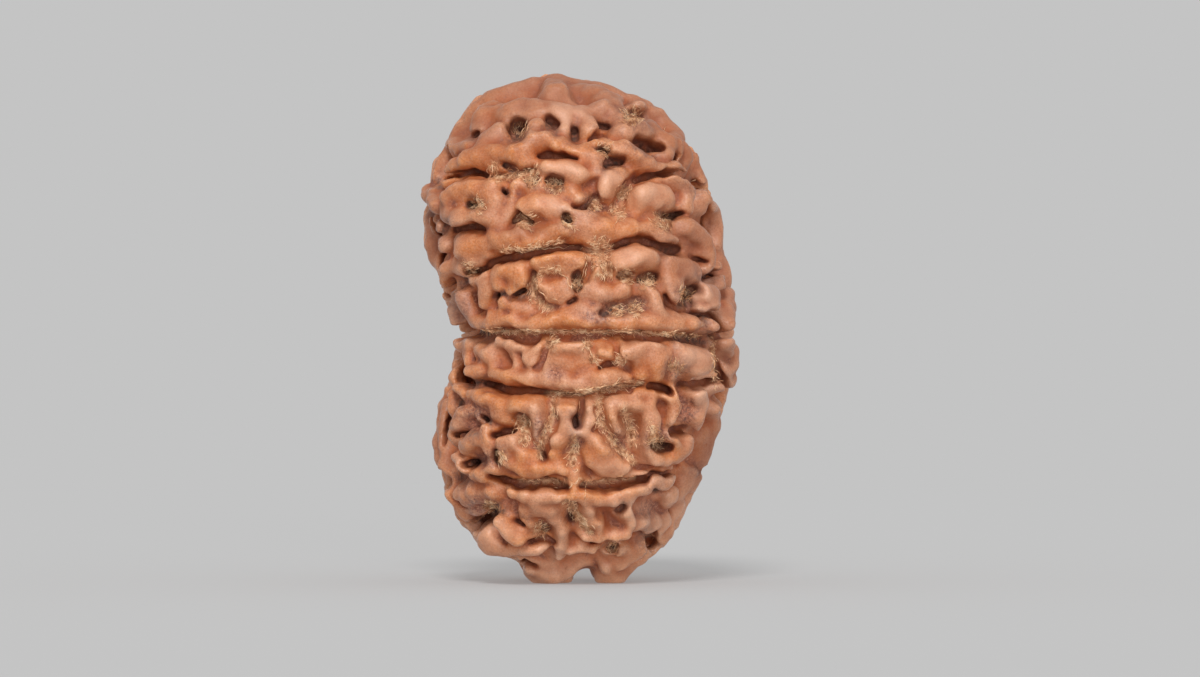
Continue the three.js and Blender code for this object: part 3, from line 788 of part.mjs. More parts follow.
// Where a ray from the middle leaves the body
function bodyPoint(towards) {
  const at = (reach) => [towards.x * reach, towards.y * reach, BODY_MIDDLE + towards.z * reach];
  let inside = 0;
  let outside = 20;
  for (let turn = 0; turn < 30; turn++) {
    const half = (inside + outside) / 2;
    if (bodyGauge(...at(half)) > 1) outside = half;
    else inside = half;
  }
  return at(inside);
}

// The nearest place on a stroke's own line over the body, or null past its ends
function nearestOnLine(point, stroke) {
  let best = null;
  for (let i = 0; i + 1 < stroke.line.length; i++) {
    const start = new THREE.Vector3(...stroke.line[i]);
    const run = new THREE.Vector3(...stroke.line[i + 1]).sub(start);
    const share = new THREE.Vector3(...point).sub(start).dot(run) / run.lengthSq();
    if (share < 0 || share > 1) continue;
    const place = start.addScaledVector(run, share);
    const gap = place.distanceTo(new THREE.Vector3(...point));
    if (!best || gap < best.gap) best = { gap, place: place.toArray() };
  }
  return best;
}

// Moves a corner of the net onto the middle of a long cut that runs close by
function drawnToLine(point, limit, cuts) {
  let best = null;
  for (const stroke of cuts) {
    if (stroke.length < LONG_LINE) continue;
    const found = nearestOnLine(point, stroke);
    if (found && found.gap < limit && (!best || found.gap < best.gap)) best = found;
  }
  return best && settle(best.place, 0);
}

// The corners next to each corner of a net of facets
function neighboursOf(count, index) {
  const neighbours = Array.from({ length: count }, () => new Set());
  for (let i = 0; i < index.count; i++) {
    const a = index.getX(i);
    const b = index.getX(i % 3 === 2 ? i - 2 : i + 1);
    neighbours[a].add(b);
    neighbours[b].add(a);
  }
  return neighbours.map((set) => [...set]);
}

// A sphere of even facets whose every corner is moved out to the body and then to the relief over it
function seedGeometry() {
  const back = backRelief();
  const ridges = [...RIDGES.map(frontRidge), ...back.ridges];
  const cuts = [...CUTS.map(frontCut), ...back.cuts];
  const sphere = new THREE.IcosahedronGeometry(1, FACET_SPLITS);
  sphere.deleteAttribute("normal");
  sphere.deleteAttribute("uv");
  const geometry = mergeVertices(sphere, 1e-5);
  const corners = geometry.getAttribute("position");
  const stretch = new THREE.Vector3(BODY_HALF_WIDTH, BODY_HALF_DEPTH, BODY_TOP_HEIGHT);
  const points = [];
  for (let i = 0; i < corners.count; i++) {
    const towards = new THREE.Vector3().fromBufferAttribute(corners, i).multiply(stretch).normalize();
    points.push(bodyPoint(towards));
  }
  const neighbours = neighboursOf(corners.count, geometry.index);
  const levels = [];
  const kept = [];
  for (let i = 0; i < corners.count; i++) {
    const reach = HIGHEST_RELIEF + MEAN_RADIUS + FLANK_BLEND + RIDGE_FLARE * FLARE_DEPTH;
    const nearRidges = capsulesNear(ridges, points[i], reach);
    const nearCuts = capsulesNear(cuts, points[i], reach + CUT_REACH);
    const gaps = neighbours[i].map((j) => Math.hypot(...points[i].map((p, k) => p - points[j][k])));
    const drawn = drawnToLine(points[i], LINE_PULL * Math.min(...gaps), strokesOf(nearCuts));
    points[i] = drawn ?? points[i];
    const normal = bodyNormal(...points[i]);
    const own = reliefLevel(points[i], normal, nearRidges, nearCuts);
    const onSole = points[i][2] + normal[2] * own < FLAT_HEIGHT;
    levels.push(onSole ? own : meanLevel(points[i], normal, nearRidges, nearCuts));
    kept.push(drawn !== null || onSole);
  }
  for (let i = 0; i < corners.count; i++) {
    const around = neighbours[i].filter((j) => !kept[j]);
    const mean = around.reduce((sum, j) => sum + levels[j], 0) / Math.max(1, around.length);
    const share = kept[i] || !around.length ? 0 : EVENING;
    const level = levels[i] * (1 - share) + mean * share;
    const normal = bodyNormal(...points[i]);
    const [x, y, z] = points[i].map((p, k) => p + normal[k] * level);
    corners.setXYZ(i, x + CENTRE_X, y + CENTRE_Y, z < FLAT_HEIGHT ? 0 : z);
  }
  geometry.computeVertexNormals();
  return geometry;
}

const wood = new THREE.MeshStandardMaterial({ color: 0xa96f53, roughness: 0.55 });
const seed = new THREE.Mesh(seedGeometry(), wood);
seed.name = "seed";

const rudraksha = new THREE.Group();
rudraksha.name = "rudraksha_seed";
rudraksha.add(seed);

export default rudraksha;
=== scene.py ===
"""A rudraksha seed standing upright in soft studio light. Relief in millimetres, scene in metres."""
import json
import math

import bpy
import numpy as np
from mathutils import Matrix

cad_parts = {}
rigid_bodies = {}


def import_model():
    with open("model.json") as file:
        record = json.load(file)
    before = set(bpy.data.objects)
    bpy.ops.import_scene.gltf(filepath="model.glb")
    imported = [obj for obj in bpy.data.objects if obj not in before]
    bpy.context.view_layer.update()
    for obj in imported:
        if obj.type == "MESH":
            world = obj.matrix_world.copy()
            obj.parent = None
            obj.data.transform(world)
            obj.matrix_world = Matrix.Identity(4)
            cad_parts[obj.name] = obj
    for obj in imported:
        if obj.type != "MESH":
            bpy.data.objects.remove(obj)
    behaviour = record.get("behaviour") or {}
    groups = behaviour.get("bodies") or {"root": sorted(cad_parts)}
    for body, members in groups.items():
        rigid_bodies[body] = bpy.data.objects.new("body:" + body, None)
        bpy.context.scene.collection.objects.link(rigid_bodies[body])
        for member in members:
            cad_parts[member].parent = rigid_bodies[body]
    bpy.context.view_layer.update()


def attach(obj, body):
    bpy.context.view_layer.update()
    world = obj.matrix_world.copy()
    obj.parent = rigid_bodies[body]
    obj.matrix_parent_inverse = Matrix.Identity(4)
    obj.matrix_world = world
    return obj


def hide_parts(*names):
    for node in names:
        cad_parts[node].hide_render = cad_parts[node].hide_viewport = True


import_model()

import openvdb
from mathutils import Vector

MM = 0.001

# The body under the relief, at the level of the valley floors, as in the part's source
BODY_MIDDLE = 15.1
BODY_TOP_HEIGHT = 13.8
BODY_BOTTOM_DEPTH = 13.9
BODY_HALF_WIDTH = 7.85
BODY_HALF_DEPTH = 9.15
TOP_FULLNESS = 2.7
BOTTOM_FULLNESS = 2.4
SECTION_FULLNESS = 2.2
WAIST_HEIGHT = 14.5
WAIST_REACH = 4.7
WAIST_SHIFT = 1.6
WAIST_NARROWING = 0.04
LOWER_NARROWING = 0.35
ENDS_SHIFT = -0.75
TOP_LEAN = -0.75
CENTRE = np.array([0.08, 0.05, 0.0])

# The front is seen from slightly above: how far a sight line sinks for each mm that it goes back
SIGHT_SLOPE = 0.026
SIGHT_START = -13.0
SIGHT_STEP = 0.2

# How the relief blends into the body
RIDGE_BLEND = 0.36
RIDGE_FLARE = 0.5
FLARE_DEPTH = 1.1
FLANK_BLEND = 0.6
CUT_BLEND = 0.3
CUT_LIFT = 0.3
CUT_LEAN = 2.0
CUT_REACH = 3.9
EXTRA_CREST = 0.15

# The grid that the fine surface is drawn on, and the most triangles that it keeps
CELL = 0.125
GRID_LOW = np.array([-10.6, -11.6, -0.8])
GRID_HIGH = np.array([10.8, 11.6, 31.6])
MOST_TRIANGLES = 196000

# How far places stray from their own, and how the surface swells, in layers: [spacing, reach, seed]
STRAYING = [[1.5, 0.24, 11], [0.6, 0.07, 21]]
SWELLING = [[1.1, 0.14, 5], [0.5, 0.06, 6]]

# The relief of the front in rows of "name: radius size | x z, x z, ...". A point may add its own radius.
# The size is a ridge's crest above the body, or a cut's depth below it.
RIDGE_ROWS = """
# Cap above the first line
cap left shoulder: 1.15 0.95 | -5.1 28.4, -4.1 28.9, -2.8 28.9
cap crown knob: 0.8 1.3 | -1.6 29.7, -1.6 29.1
cap right shoulder: 1.15 1 | -0.3 28.8, 0.6 28.6, 1.3 28.2
cap apron: 0.9 0.9 | -4.9 27.8, -3.9 27.9, -2.7 27.7, -1.4 27.6, 0 27.5, 1.2 27.8, 2.2 28
cap rib to the pits: 0.6 0.85 | -0.9 27.8, -1.2 26.9
cap rib beside the pit: 0.55 0.85 | 0.4 27.5, 0.3 26.9
cap nose: 0.42 1 | 0.5 27.5, 0.8 27.1
cap left fold: 0.65 1 | -5.4 28.3, -5.8 27.6, -6.15 27.1
left brow bump: 0.7 1 | -6.7 28.1, -6.9 27.6
left temple: 0.85 0.95 | -7.6 26.9, -7 26.7
left temple lip: 0.36 1.15 | -8.15 26.2, -7.5 26, -6.8 25.95
left temple edge: 0.5 0.9 | -8.5 26, -8.7 25.2, -8.8 24.5
right crown rim: 0.5 1 | 2.2 29.3, 2.9 28.8, 3.6 28.5, 4.4 28.2
right crown rim foot: 0.4 1 | 2.9 28.8, 3.3 28.4, 3.9 28.3
right outer rim: 0.6 1.4 | 4.6 28, 5.3 27.5, 5.5 26.8, 5.5 26
right outer rim knob: 0.5 1.5 | 6 25.95, 6.3 25.5
right outer rim tail: 0.5 1.4 | 6.6 25.1, 7.1 24.6, 7.5 23.9, 7.6 23.4
right cheek arch: 0.62 1.2 | 2.6 26.8, 3.5 26.95, 4.3 26.9, 4.75 26.3, 4.85 25.5
right cheek bridge: 0.85 0.95 | 1.9 27.9, 2.1 27.2, 2.2 26.8 0.6
# Between the first and second lines
brow ridge: 0.5 1.3 | -8 24.3, -7.6 24.85, -6.8 25.15, -6 25.5, -5.2 25.8, -4.2 25.75, -3.4 25.85,
  -2.8 26.3, -2.1 26.5, -1.4 26.1, -0.6 25.7, 0.3 25.4, 1 25.45
brow ridge flank: 0.6 0.95 | -6.4 24.95, -5.3 25.3, -4.2 25.2, -3.2 25.1
brow left peak: 0.55 1.1 | -5.7 25.9, -5.4 26.6, -5 26.95
brow middle peak: 0.36 1.1 | -2.8 26.4, -2.85 27.1, -2.75 27.35
brow right web: 0.36 1 | 0.4 25.35, 0.65 24.9, 0.6 24.4
right brow lens: 0.2 1.1 | 0.3 26.05, 0.8 26.35, 1.5 26.5, 2 26.2
right brow ridge: 0.48 1.3 | 1.7 26, 2.4 25.7, 3.1 25.35, 3.9 25, 4.5 24.65, 5.2 24.45, 5.8 24.1,
  6.15 23.5, 6.3 22.9
right brow flank: 0.45 1 | 2.6 25.1, 3.4 24.75, 4.1 24.55
middle pillow: 0.58 1.5 | -2.05 24.6, -1.1 24.55, -0.3 24.4
small plate by the pillow: 0.3 0.6 | -5.2 24.7, -4.8 24.75
slanting lump: 0.56 1.2 | 2.2 24.35, 1.75 24, 1.35 23.55, 1.25 23.2
plaque by the slanting lump: 0.22 0.8 | 2.8 24.45, 3.1 24.35
# Between the second and third lines
left boss rim: 0.6 1.45 | -7.8 22, -7.75 22.9, -7.2 23.55, -6.3 23.65, -5.5 23.3, -5.1 22.6, -5.3 21.95,
  -6.1 21.75, -7 21.8, -7.8 22
left boss: 1.2 1.15 | -6.6 22.6, -6.2 22.6
left boss tail: 0.3 0.8 | -7.7 21.5, -7.3 21.2
left outline knob: 0.52 1.5 | -9.1 23.45, -8.85 23.1, -8.5 22.6
left fin: 0.45 1.1 | -8.75 21.8, -8.95 21.1, -8.9 20.3, -8.65 19.4, -8.35 18.6
left fin inner bump: 0.36 1.1 | -8.5 21.6, -8.45 21.3
left fin bead: 0.4 1.25 | -8.25 20.5, -8.15 20.2
boss flank strip: 0.36 1 | -5.3 20.8, -4.9 21.5, -4.5 22.1, -4.15 22.6, -4.05 23.4
saddle under the pillow: 0.65 0.8 | -3.5 23.5, -2.4 23.35, -1.2 23.3, -0.4 23.1
saddle knob: 0.45 1.05 | -0.7 23.25, -0.1 23
middle long pad: 0.58 1.3 | -3.3 22.3, -2.6 22.45, -1.8 22.3, -0.9 22.15
pad root: 0.5 0.9 | -2.9 21.9, -1.9 21.8
left heel: 0.72 1.2 | -7.2 20.1, -6.6 20.15, -6 20.1
left heel under: 0.4 0.9 | -7.3 19.5, -6.4 19.5, -5.6 19.6
orange ridge left: 0.42 1.2 | -5.7 20.25, -5 20.45, -4.3 20.7, -3.75 20.95, -3.35 20.95
orange ridge right: 0.42 1.2 | -3.1 20.5, -2.4 20.65, -1.7 20.9, -1.2 21
orange ridge under: 0.4 0.85 | -4.6 20.1, -3.6 20.2, -2.6 20.25, -1.6 20.4
right shelf: 0.55 1.25 | -0.8 21.2, 0.1 21.15, 0.8 21.15, 1.6 21.25, 2.3 21.15, 2.85 21.25
right shelf top left: 0.5 1.05 | -0.4 21.9, 0.5 21.8
right shelf top right: 0.4 1.05 | 2.1 21.75, 2.7 21.6
right shelf under: 0.4 0.85 | -0.6 20.6, 0.4 20.5, 1.6 20.7
pink pillow: 0.78 1.65 | 3.55 23.1, 4.2 23.1, 4.95 23.05
pink pillow root: 0.5 0.9 | 3.1 22.5, 3.7 22.45
strap right of the pillow: 0.4 1.1 | 6 23.4, 6.1 22.9, 6.2 22.4
ridge under the pillow: 0.4 1 | 3.5 21.15, 4.1 20.95, 4.7 20.75
ridge end knob: 0.46 1.25 | 4.95 20.6, 5.35 20.5
shelf behind the knob: 0.4 0.7 | 3.8 21.6, 4.8 21.4, 5.5 21.2
right slanting roll: 0.62 1.3 | 6.1 21.35, 6.6 20.85, 7 20.3, 7.25 19.7, 7.4 19.2
right outer roll: 0.6 1.3 | 7.1 22.8, 7.6 22.3, 7.9 21.5, 8 20.7
right outer edge: 0.5 1.3 | 8 22.6, 8.2 21.8, 8.2 21
# Between the third and fourth lines
long lip: 0.42 1.25 | -6.4 15.7, -5.2 15.55, -4 15.5, -2.8 15.5, -1.6 15.5, -0.5 15.7, 0.6 15.6,
  1.8 15.5, 3 15.55, 4.2 15.45, 5.4 15.45 0.46, 6.4 15.4 0.42, 7.2 15.25 0.25
finger root: 0.5 1 | 4.6 15.9, 5.5 15.8, 6.3 15.65
left stub: 0.52 1.05 | -7.5 16.4, -7.35 15.85
left thumb: 0.46 1.3 | -7 17.2, -6.85 16.7, -6.65 16.1, -6.55 15.8
left lobe: 0.5 1.15 | -7.8 18.8, -7.85 18.1, -7.95 17.4
left lobe top: 0.4 0.95 | -7.5 19, -7 18.8
little orange bead: 0.24 0.95 | -6.6 18.15, -6.2 18.3
pale column: 0.45 1.15 | -5.8 18.4, -5.6 17.7, -5.6 16.9
grey lump: 0.45 1.2 | -5 18.45, -4.8 17.8
orange lump: 0.55 1.3 | -4.5 18.75, -3.8 18.5, -3.55 17.95, -3.95 17.45
pink beads: 0.45 1.15 | -4.65 16.7, -4.6 16.5
pink beads low: 0.28 1.1 | -5.3 16.15, -4.85 16
slope under the lump: 0.5 0.85 | -4 16.5, -3.2 16.2
upper rim of the ring: 0.36 1.2 | -2.6 19.15, -1.8 19.35, -0.9 19.35, -0.35 19.15
ring top: 0.4 0.95 | -2.2 18.75, -1.3 18.8, -0.7 18.6
ring lump: 0.55 1.15 | -2.3 17.65, -1.7 17.5, -1.2 17.7, -0.85 17.2
ring lump low: 0.4 0.95 | -2 17, -1.3 16.9
middle rib: 0.26 0.85 | 0.85 19.3, 0.75 18.6, 0.65 18
middle shelf: 0.55 1 | 0.1 17.3, 1.1 17.35, 2.3 17.3
middle hill: 0.6 1.1 | -0.9 16, 0 16.35, 0.8 16.2
pink egg: 0.74 1.6 | 2.35 19.2, 3.1 19.35, 3.95 19.2
pink egg root: 0.5 1 | 2.6 18.7, 3.6 18.8
standing ridge: 0.38 1.25 | 3.9 17.5, 4.2 17, 4.5 16.4, 4.75 15.95
leaf top: 0.58 1.25 | 5.2 19, 6 18.85, 6.6 18.7
leaf stem: 0.55 1.25 | 5.3 18.6, 5.45 17.8, 5.45 17.1
leaf web: 0.5 1.1 | 5.7 18.4, 6.2 18.4
right knob: 0.62 1.4 | 7.2 17.4, 7.6 17.3, 7.55 16.7
right knob foot: 0.4 1 | 6.8 16.3, 7.5 16.2
right corner: 0.42 1.05 | 8.2 20, 8.45 19.2, 8.75 18.5, 8.8 18.1
right corner inner: 0.4 0.95 | 8.1 19, 8.2 18.3, 8.2 17.7
right outline lump: 0.55 1.1 | 8.6 17.1, 8.65 16.4, 8.45 15.7
right small bead: 0.33 1.1 | 7.85 15.2, 8.1 15
right small bead upper: 0.28 1 | 7.7 15.9, 7.8 15.6
# Between the fourth and fifth lines
left knob: 0.52 1.1 | -7.1 14.25, -6.6 14.2
left knob lower: 0.4 1.05 | -6.9 13.6, -6.6 13.3
left low bead: 0.38 1.25 | -6.5 12.8, -6 12.85
left pad: 0.5 1.05 | -6 13.9, -5.3 13.7, -5.2 13.2
left pad upper: 0.36 1.1 | -4.9 14.35, -4.2 14.1, -3.4 14.2
left pad middle: 0.45 0.95 | -4 13.6, -3.6 13.1
curl: 0.5 1.1 | -2.6 14.1, -2.9 13.7, -2.75 13.3
middle bead: 0.4 1.2 | -1.3 14, -0.7 14.05, -0.2 13.9
middle pad: 0.55 1.1 | -1.8 13.2, -0.9 13.1, 0 13.2
lower strip: 0.46 1.2 | -5.3 12.65, -4.2 12.4, -3.1 12.3, -2 12.35, -1 12.3, 0.2 12.15, 1.2 12.15,
  1.9 12.35
little knob: 0.36 1.25 | 1.1 13.8, 1.5 13.75
pad under the crack: 0.42 1.15 | 0.4 12.65, 1.4 12.6
small lump: 0.36 0.95 | 2.4 12.45, 2.7 12.4
right body: 0.52 1.25 | 2.5 13.85, 3.4 14, 4.3 13.9, 4.8 13.7
right body leg: 0.48 1.25 | 4.1 13.5, 4.35 12.9, 4.4 12.4
right body root: 0.5 0.95 | 3.4 13.2, 3.5 12.6
right fist: 0.76 1.5 | 5.9 13.4, 6.6 13.3, 7 13.3
fist root: 0.45 1 | 5.4 13.9, 5.2 13.2, 5.3 12.5
outer ear: 0.58 1.15 | 8.35 14.3, 8.75 13.7, 8.6 13, 8.3 12.6
outer ear lobe: 0.42 1.1 | 8.7 12.35, 8.5 12, 8.2 11.8
# Between the fifth and sixth lines
left block: 0.42 1.2 | -6.5 11.3, -6.1 11.05, -5.8 10.7
left strap: 0.42 1.05 | -7.8 12.7, -7.5 12.1, -7.15 11.6, -6.95 11.2
left outer block: 0.5 1 | -7.7 12.9, -7.75 12.3
left long fin: 0.4 1.35 | -8.1 11.4, -8.35 10.6, -8.45 9.6, -8.5 8.6, -8.6 7.6, -8.65 7.2
left bean: 0.34 1.3 | -7.9 11.1, -7.95 10.5
left finger: 0.46 1.25 | -7.05 10.1, -7.25 9.5, -7.6 9
left slope: 0.5 0.8 | -6.4 10.3, -5.9 9.9
upper pad: 0.5 1.25 | -5.4 10.9, -4.6 10.75, -3.7 10.7, -2.9 10.6
upper pad slope: 0.6 0.95 | -4.8 10.2, -4.2 10
upper pad right leg: 0.36 1.15 | -2.8 10.4, -2.65 9.6, -2.7 8.9
star knob: 0.4 1.25 | -5.6 9.1, -5.5 8.6, -5.5 8
star left arm: 0.4 1.2 | -6 8.4, -6.6 8.4, -6.9 8.1
star right arm: 0.42 1.25 | -4.6 8.65, -4.15 8.6, -4.4 8.2
left low knob: 0.34 1.15 | -7.4 7.4, -7.1 7, -6.9 6.75
left low pad: 0.45 1.2 | -6.3 6.4, -5.8 6.6, -5.3 6.75
left grey knob: 0.36 0.95 | -7.9 6.5, -7.7 6.3
lip over the sixth line: 0.46 1.25 | -4.3 7.3, -3.5 6.9, -2.6 6.85, -1.8 6.9, -1.2 6.85
lip root: 0.5 1 | -4.3 7.9, -3.5 7.7, -2.9 7.5
orange bar: 0.36 1.15 | -1.2 10.6, -0.6 10.55
arch: 0.27 1.1 | -0.9 10.2, -0.85 9.6, -0.45 9.15, 0.1 9.15, 0.4 9.7, 0.45 10.5
arch left leg: 0.38 1.15 | -0.8 9.3, -1.3 8.6, -1.6 7.9, -1.4 7.3
arch right leg: 0.42 1.2 | 0.2 9, 0.7 8.4, 1.2 7.8, 1.8 7.3
lobe right of the arch: 0.55 1.25 | 0.5 7.4, 1.2 7.15, 2 7, 2.5 6.95
lobe root: 0.5 0.95 | 0.3 8, 0.7 7.7
shield top: 0.36 1.25 | 1.7 10.5, 2.5 10.7, 3.3 10.8, 3.9 10.6
shield left edge: 0.26 1.15 | 1.65 10.4, 1.8 9.9, 2.05 9.4, 2.2 9.1
shield right side: 0.55 1.25 | 4 10.5, 4 9.9, 3.95 9.2, 3.8 8.7
shield slope: 0.5 0.85 | 2 11.2, 3.1 11.3, 4.1 11.1
slim block: 0.42 1.2 | 5.3 11.3, 5.45 10.6, 5.3 9.9
outer block: 0.55 1.25 | 6.9 11.4, 7 10.7, 6.8 10, 6.7 9.5
hook: 0.45 1.25 | 5.2 8.9, 5.35 8.4, 5.6 8
hook roll: 0.48 1.3 | 6.3 8.6, 6 8, 5.5 7.6, 4.9 7.45, 4.3 7.55, 4 7.95
right outline bead: 0.42 1.1 | 7.75 10.3, 7.8 9.95
right outline bead lower: 0.42 1.05 | 7.65 9.2, 7.55 8.7
right flank: 0.6 0.95 | 7 8.8, 6.9 8, 6.7 7.4
# Between the sixth and seventh lines
sixth line bridge: 0.24 1.1 | -0.5 6.7, -0.5 6.2, -0.5 5.6
sill: 0.38 1.15 | -4.1 5.55, -3.5 5.45, -2.6 5.35, -1.6 5.35, -0.6 5.45, 0.3 5.4, 1.2 5.15, 1.9 5.15,
  2.6 5.5, 3.3 5.9 0.45, 4.2 6.1 0.55, 5 6.2 0.6
left plates: 0.5 1 | -7 5.5, -6.2 5.6, -5.5 5.6
left plates lower: 0.3 1 | -6.8 4.9, -6.2 5
left tongue: 0.28 1 | -6.8 4.2, -6.3 4.2
left corner knob: 0.5 1.3 | -8.1 5.6, -7.7 5.4
left corner slope: 0.5 0.95 | -7.4 4.9, -7.1 4.4
left corner lower: 0.5 0.95 | -6.8 3.8, -6.5 3.3
big left lobe: 0.75 1.55 | -5.6 3.1, -5.3 2.6, -4.9 2.3
second left lobe: 0.58 1.55 | -4.5 3.6, -4.1 3.1, -3.75 2.75
lobe edge: 0.32 1.15 | -5 2.05, -4.2 2, -3.2 1.95, -2.4 2
sill left slope: 0.45 1 | -3.4 4.7, -3.2 4
sill middle slope: 0.5 1.05 | -2.6 4.8, -1.9 4.5
low middle slope: 0.4 0.9 | -1.6 3.8, -1.2 3.3
thin rib: 0.2 1.05 | 0.3 4.9, 0.5 4.3, 0.8 3.6, 1.1 3
bowl rim: 0.26 1.1 | 0.2 2.7, 1.2 2.7, 2 2.8, 2.7 3.05, 3 3.5
bowl side: 0.33 1.05 | 2.8 5, 2.8 4.2, 2.9 3.7
right low pad: 0.62 0.9 | 3.3 3.8, 4 3.6, 4.6 3.7
right broad slope: 0.75 0.95 | 4.9 5.2, 5.6 5, 6 5.3
right slope edge: 0.45 1.05 | 6.75 6, 6.5 5.4, 6.1 4.8
right slope lower edge: 0.45 1 | 5.6 4.3, 5.2 3.7
# Below the seventh line
bottom rib: 0.33 1 | -1.1 2.9, -1.1 2.2, -1.2 1.6
bottom lip: 0.24 1.15 | -0.6 1.75, 0 1.9, 0.7 1.75
bottom pad: 0.42 1.05 | 2.1 1.9, 2.9 1.8
bottom right pad: 0.5 1.05 | 4.3 2.6, 4.6 2.1
bottom right slope: 0.5 0.95 | 3.2 1.5, 3.9 1.7
"""

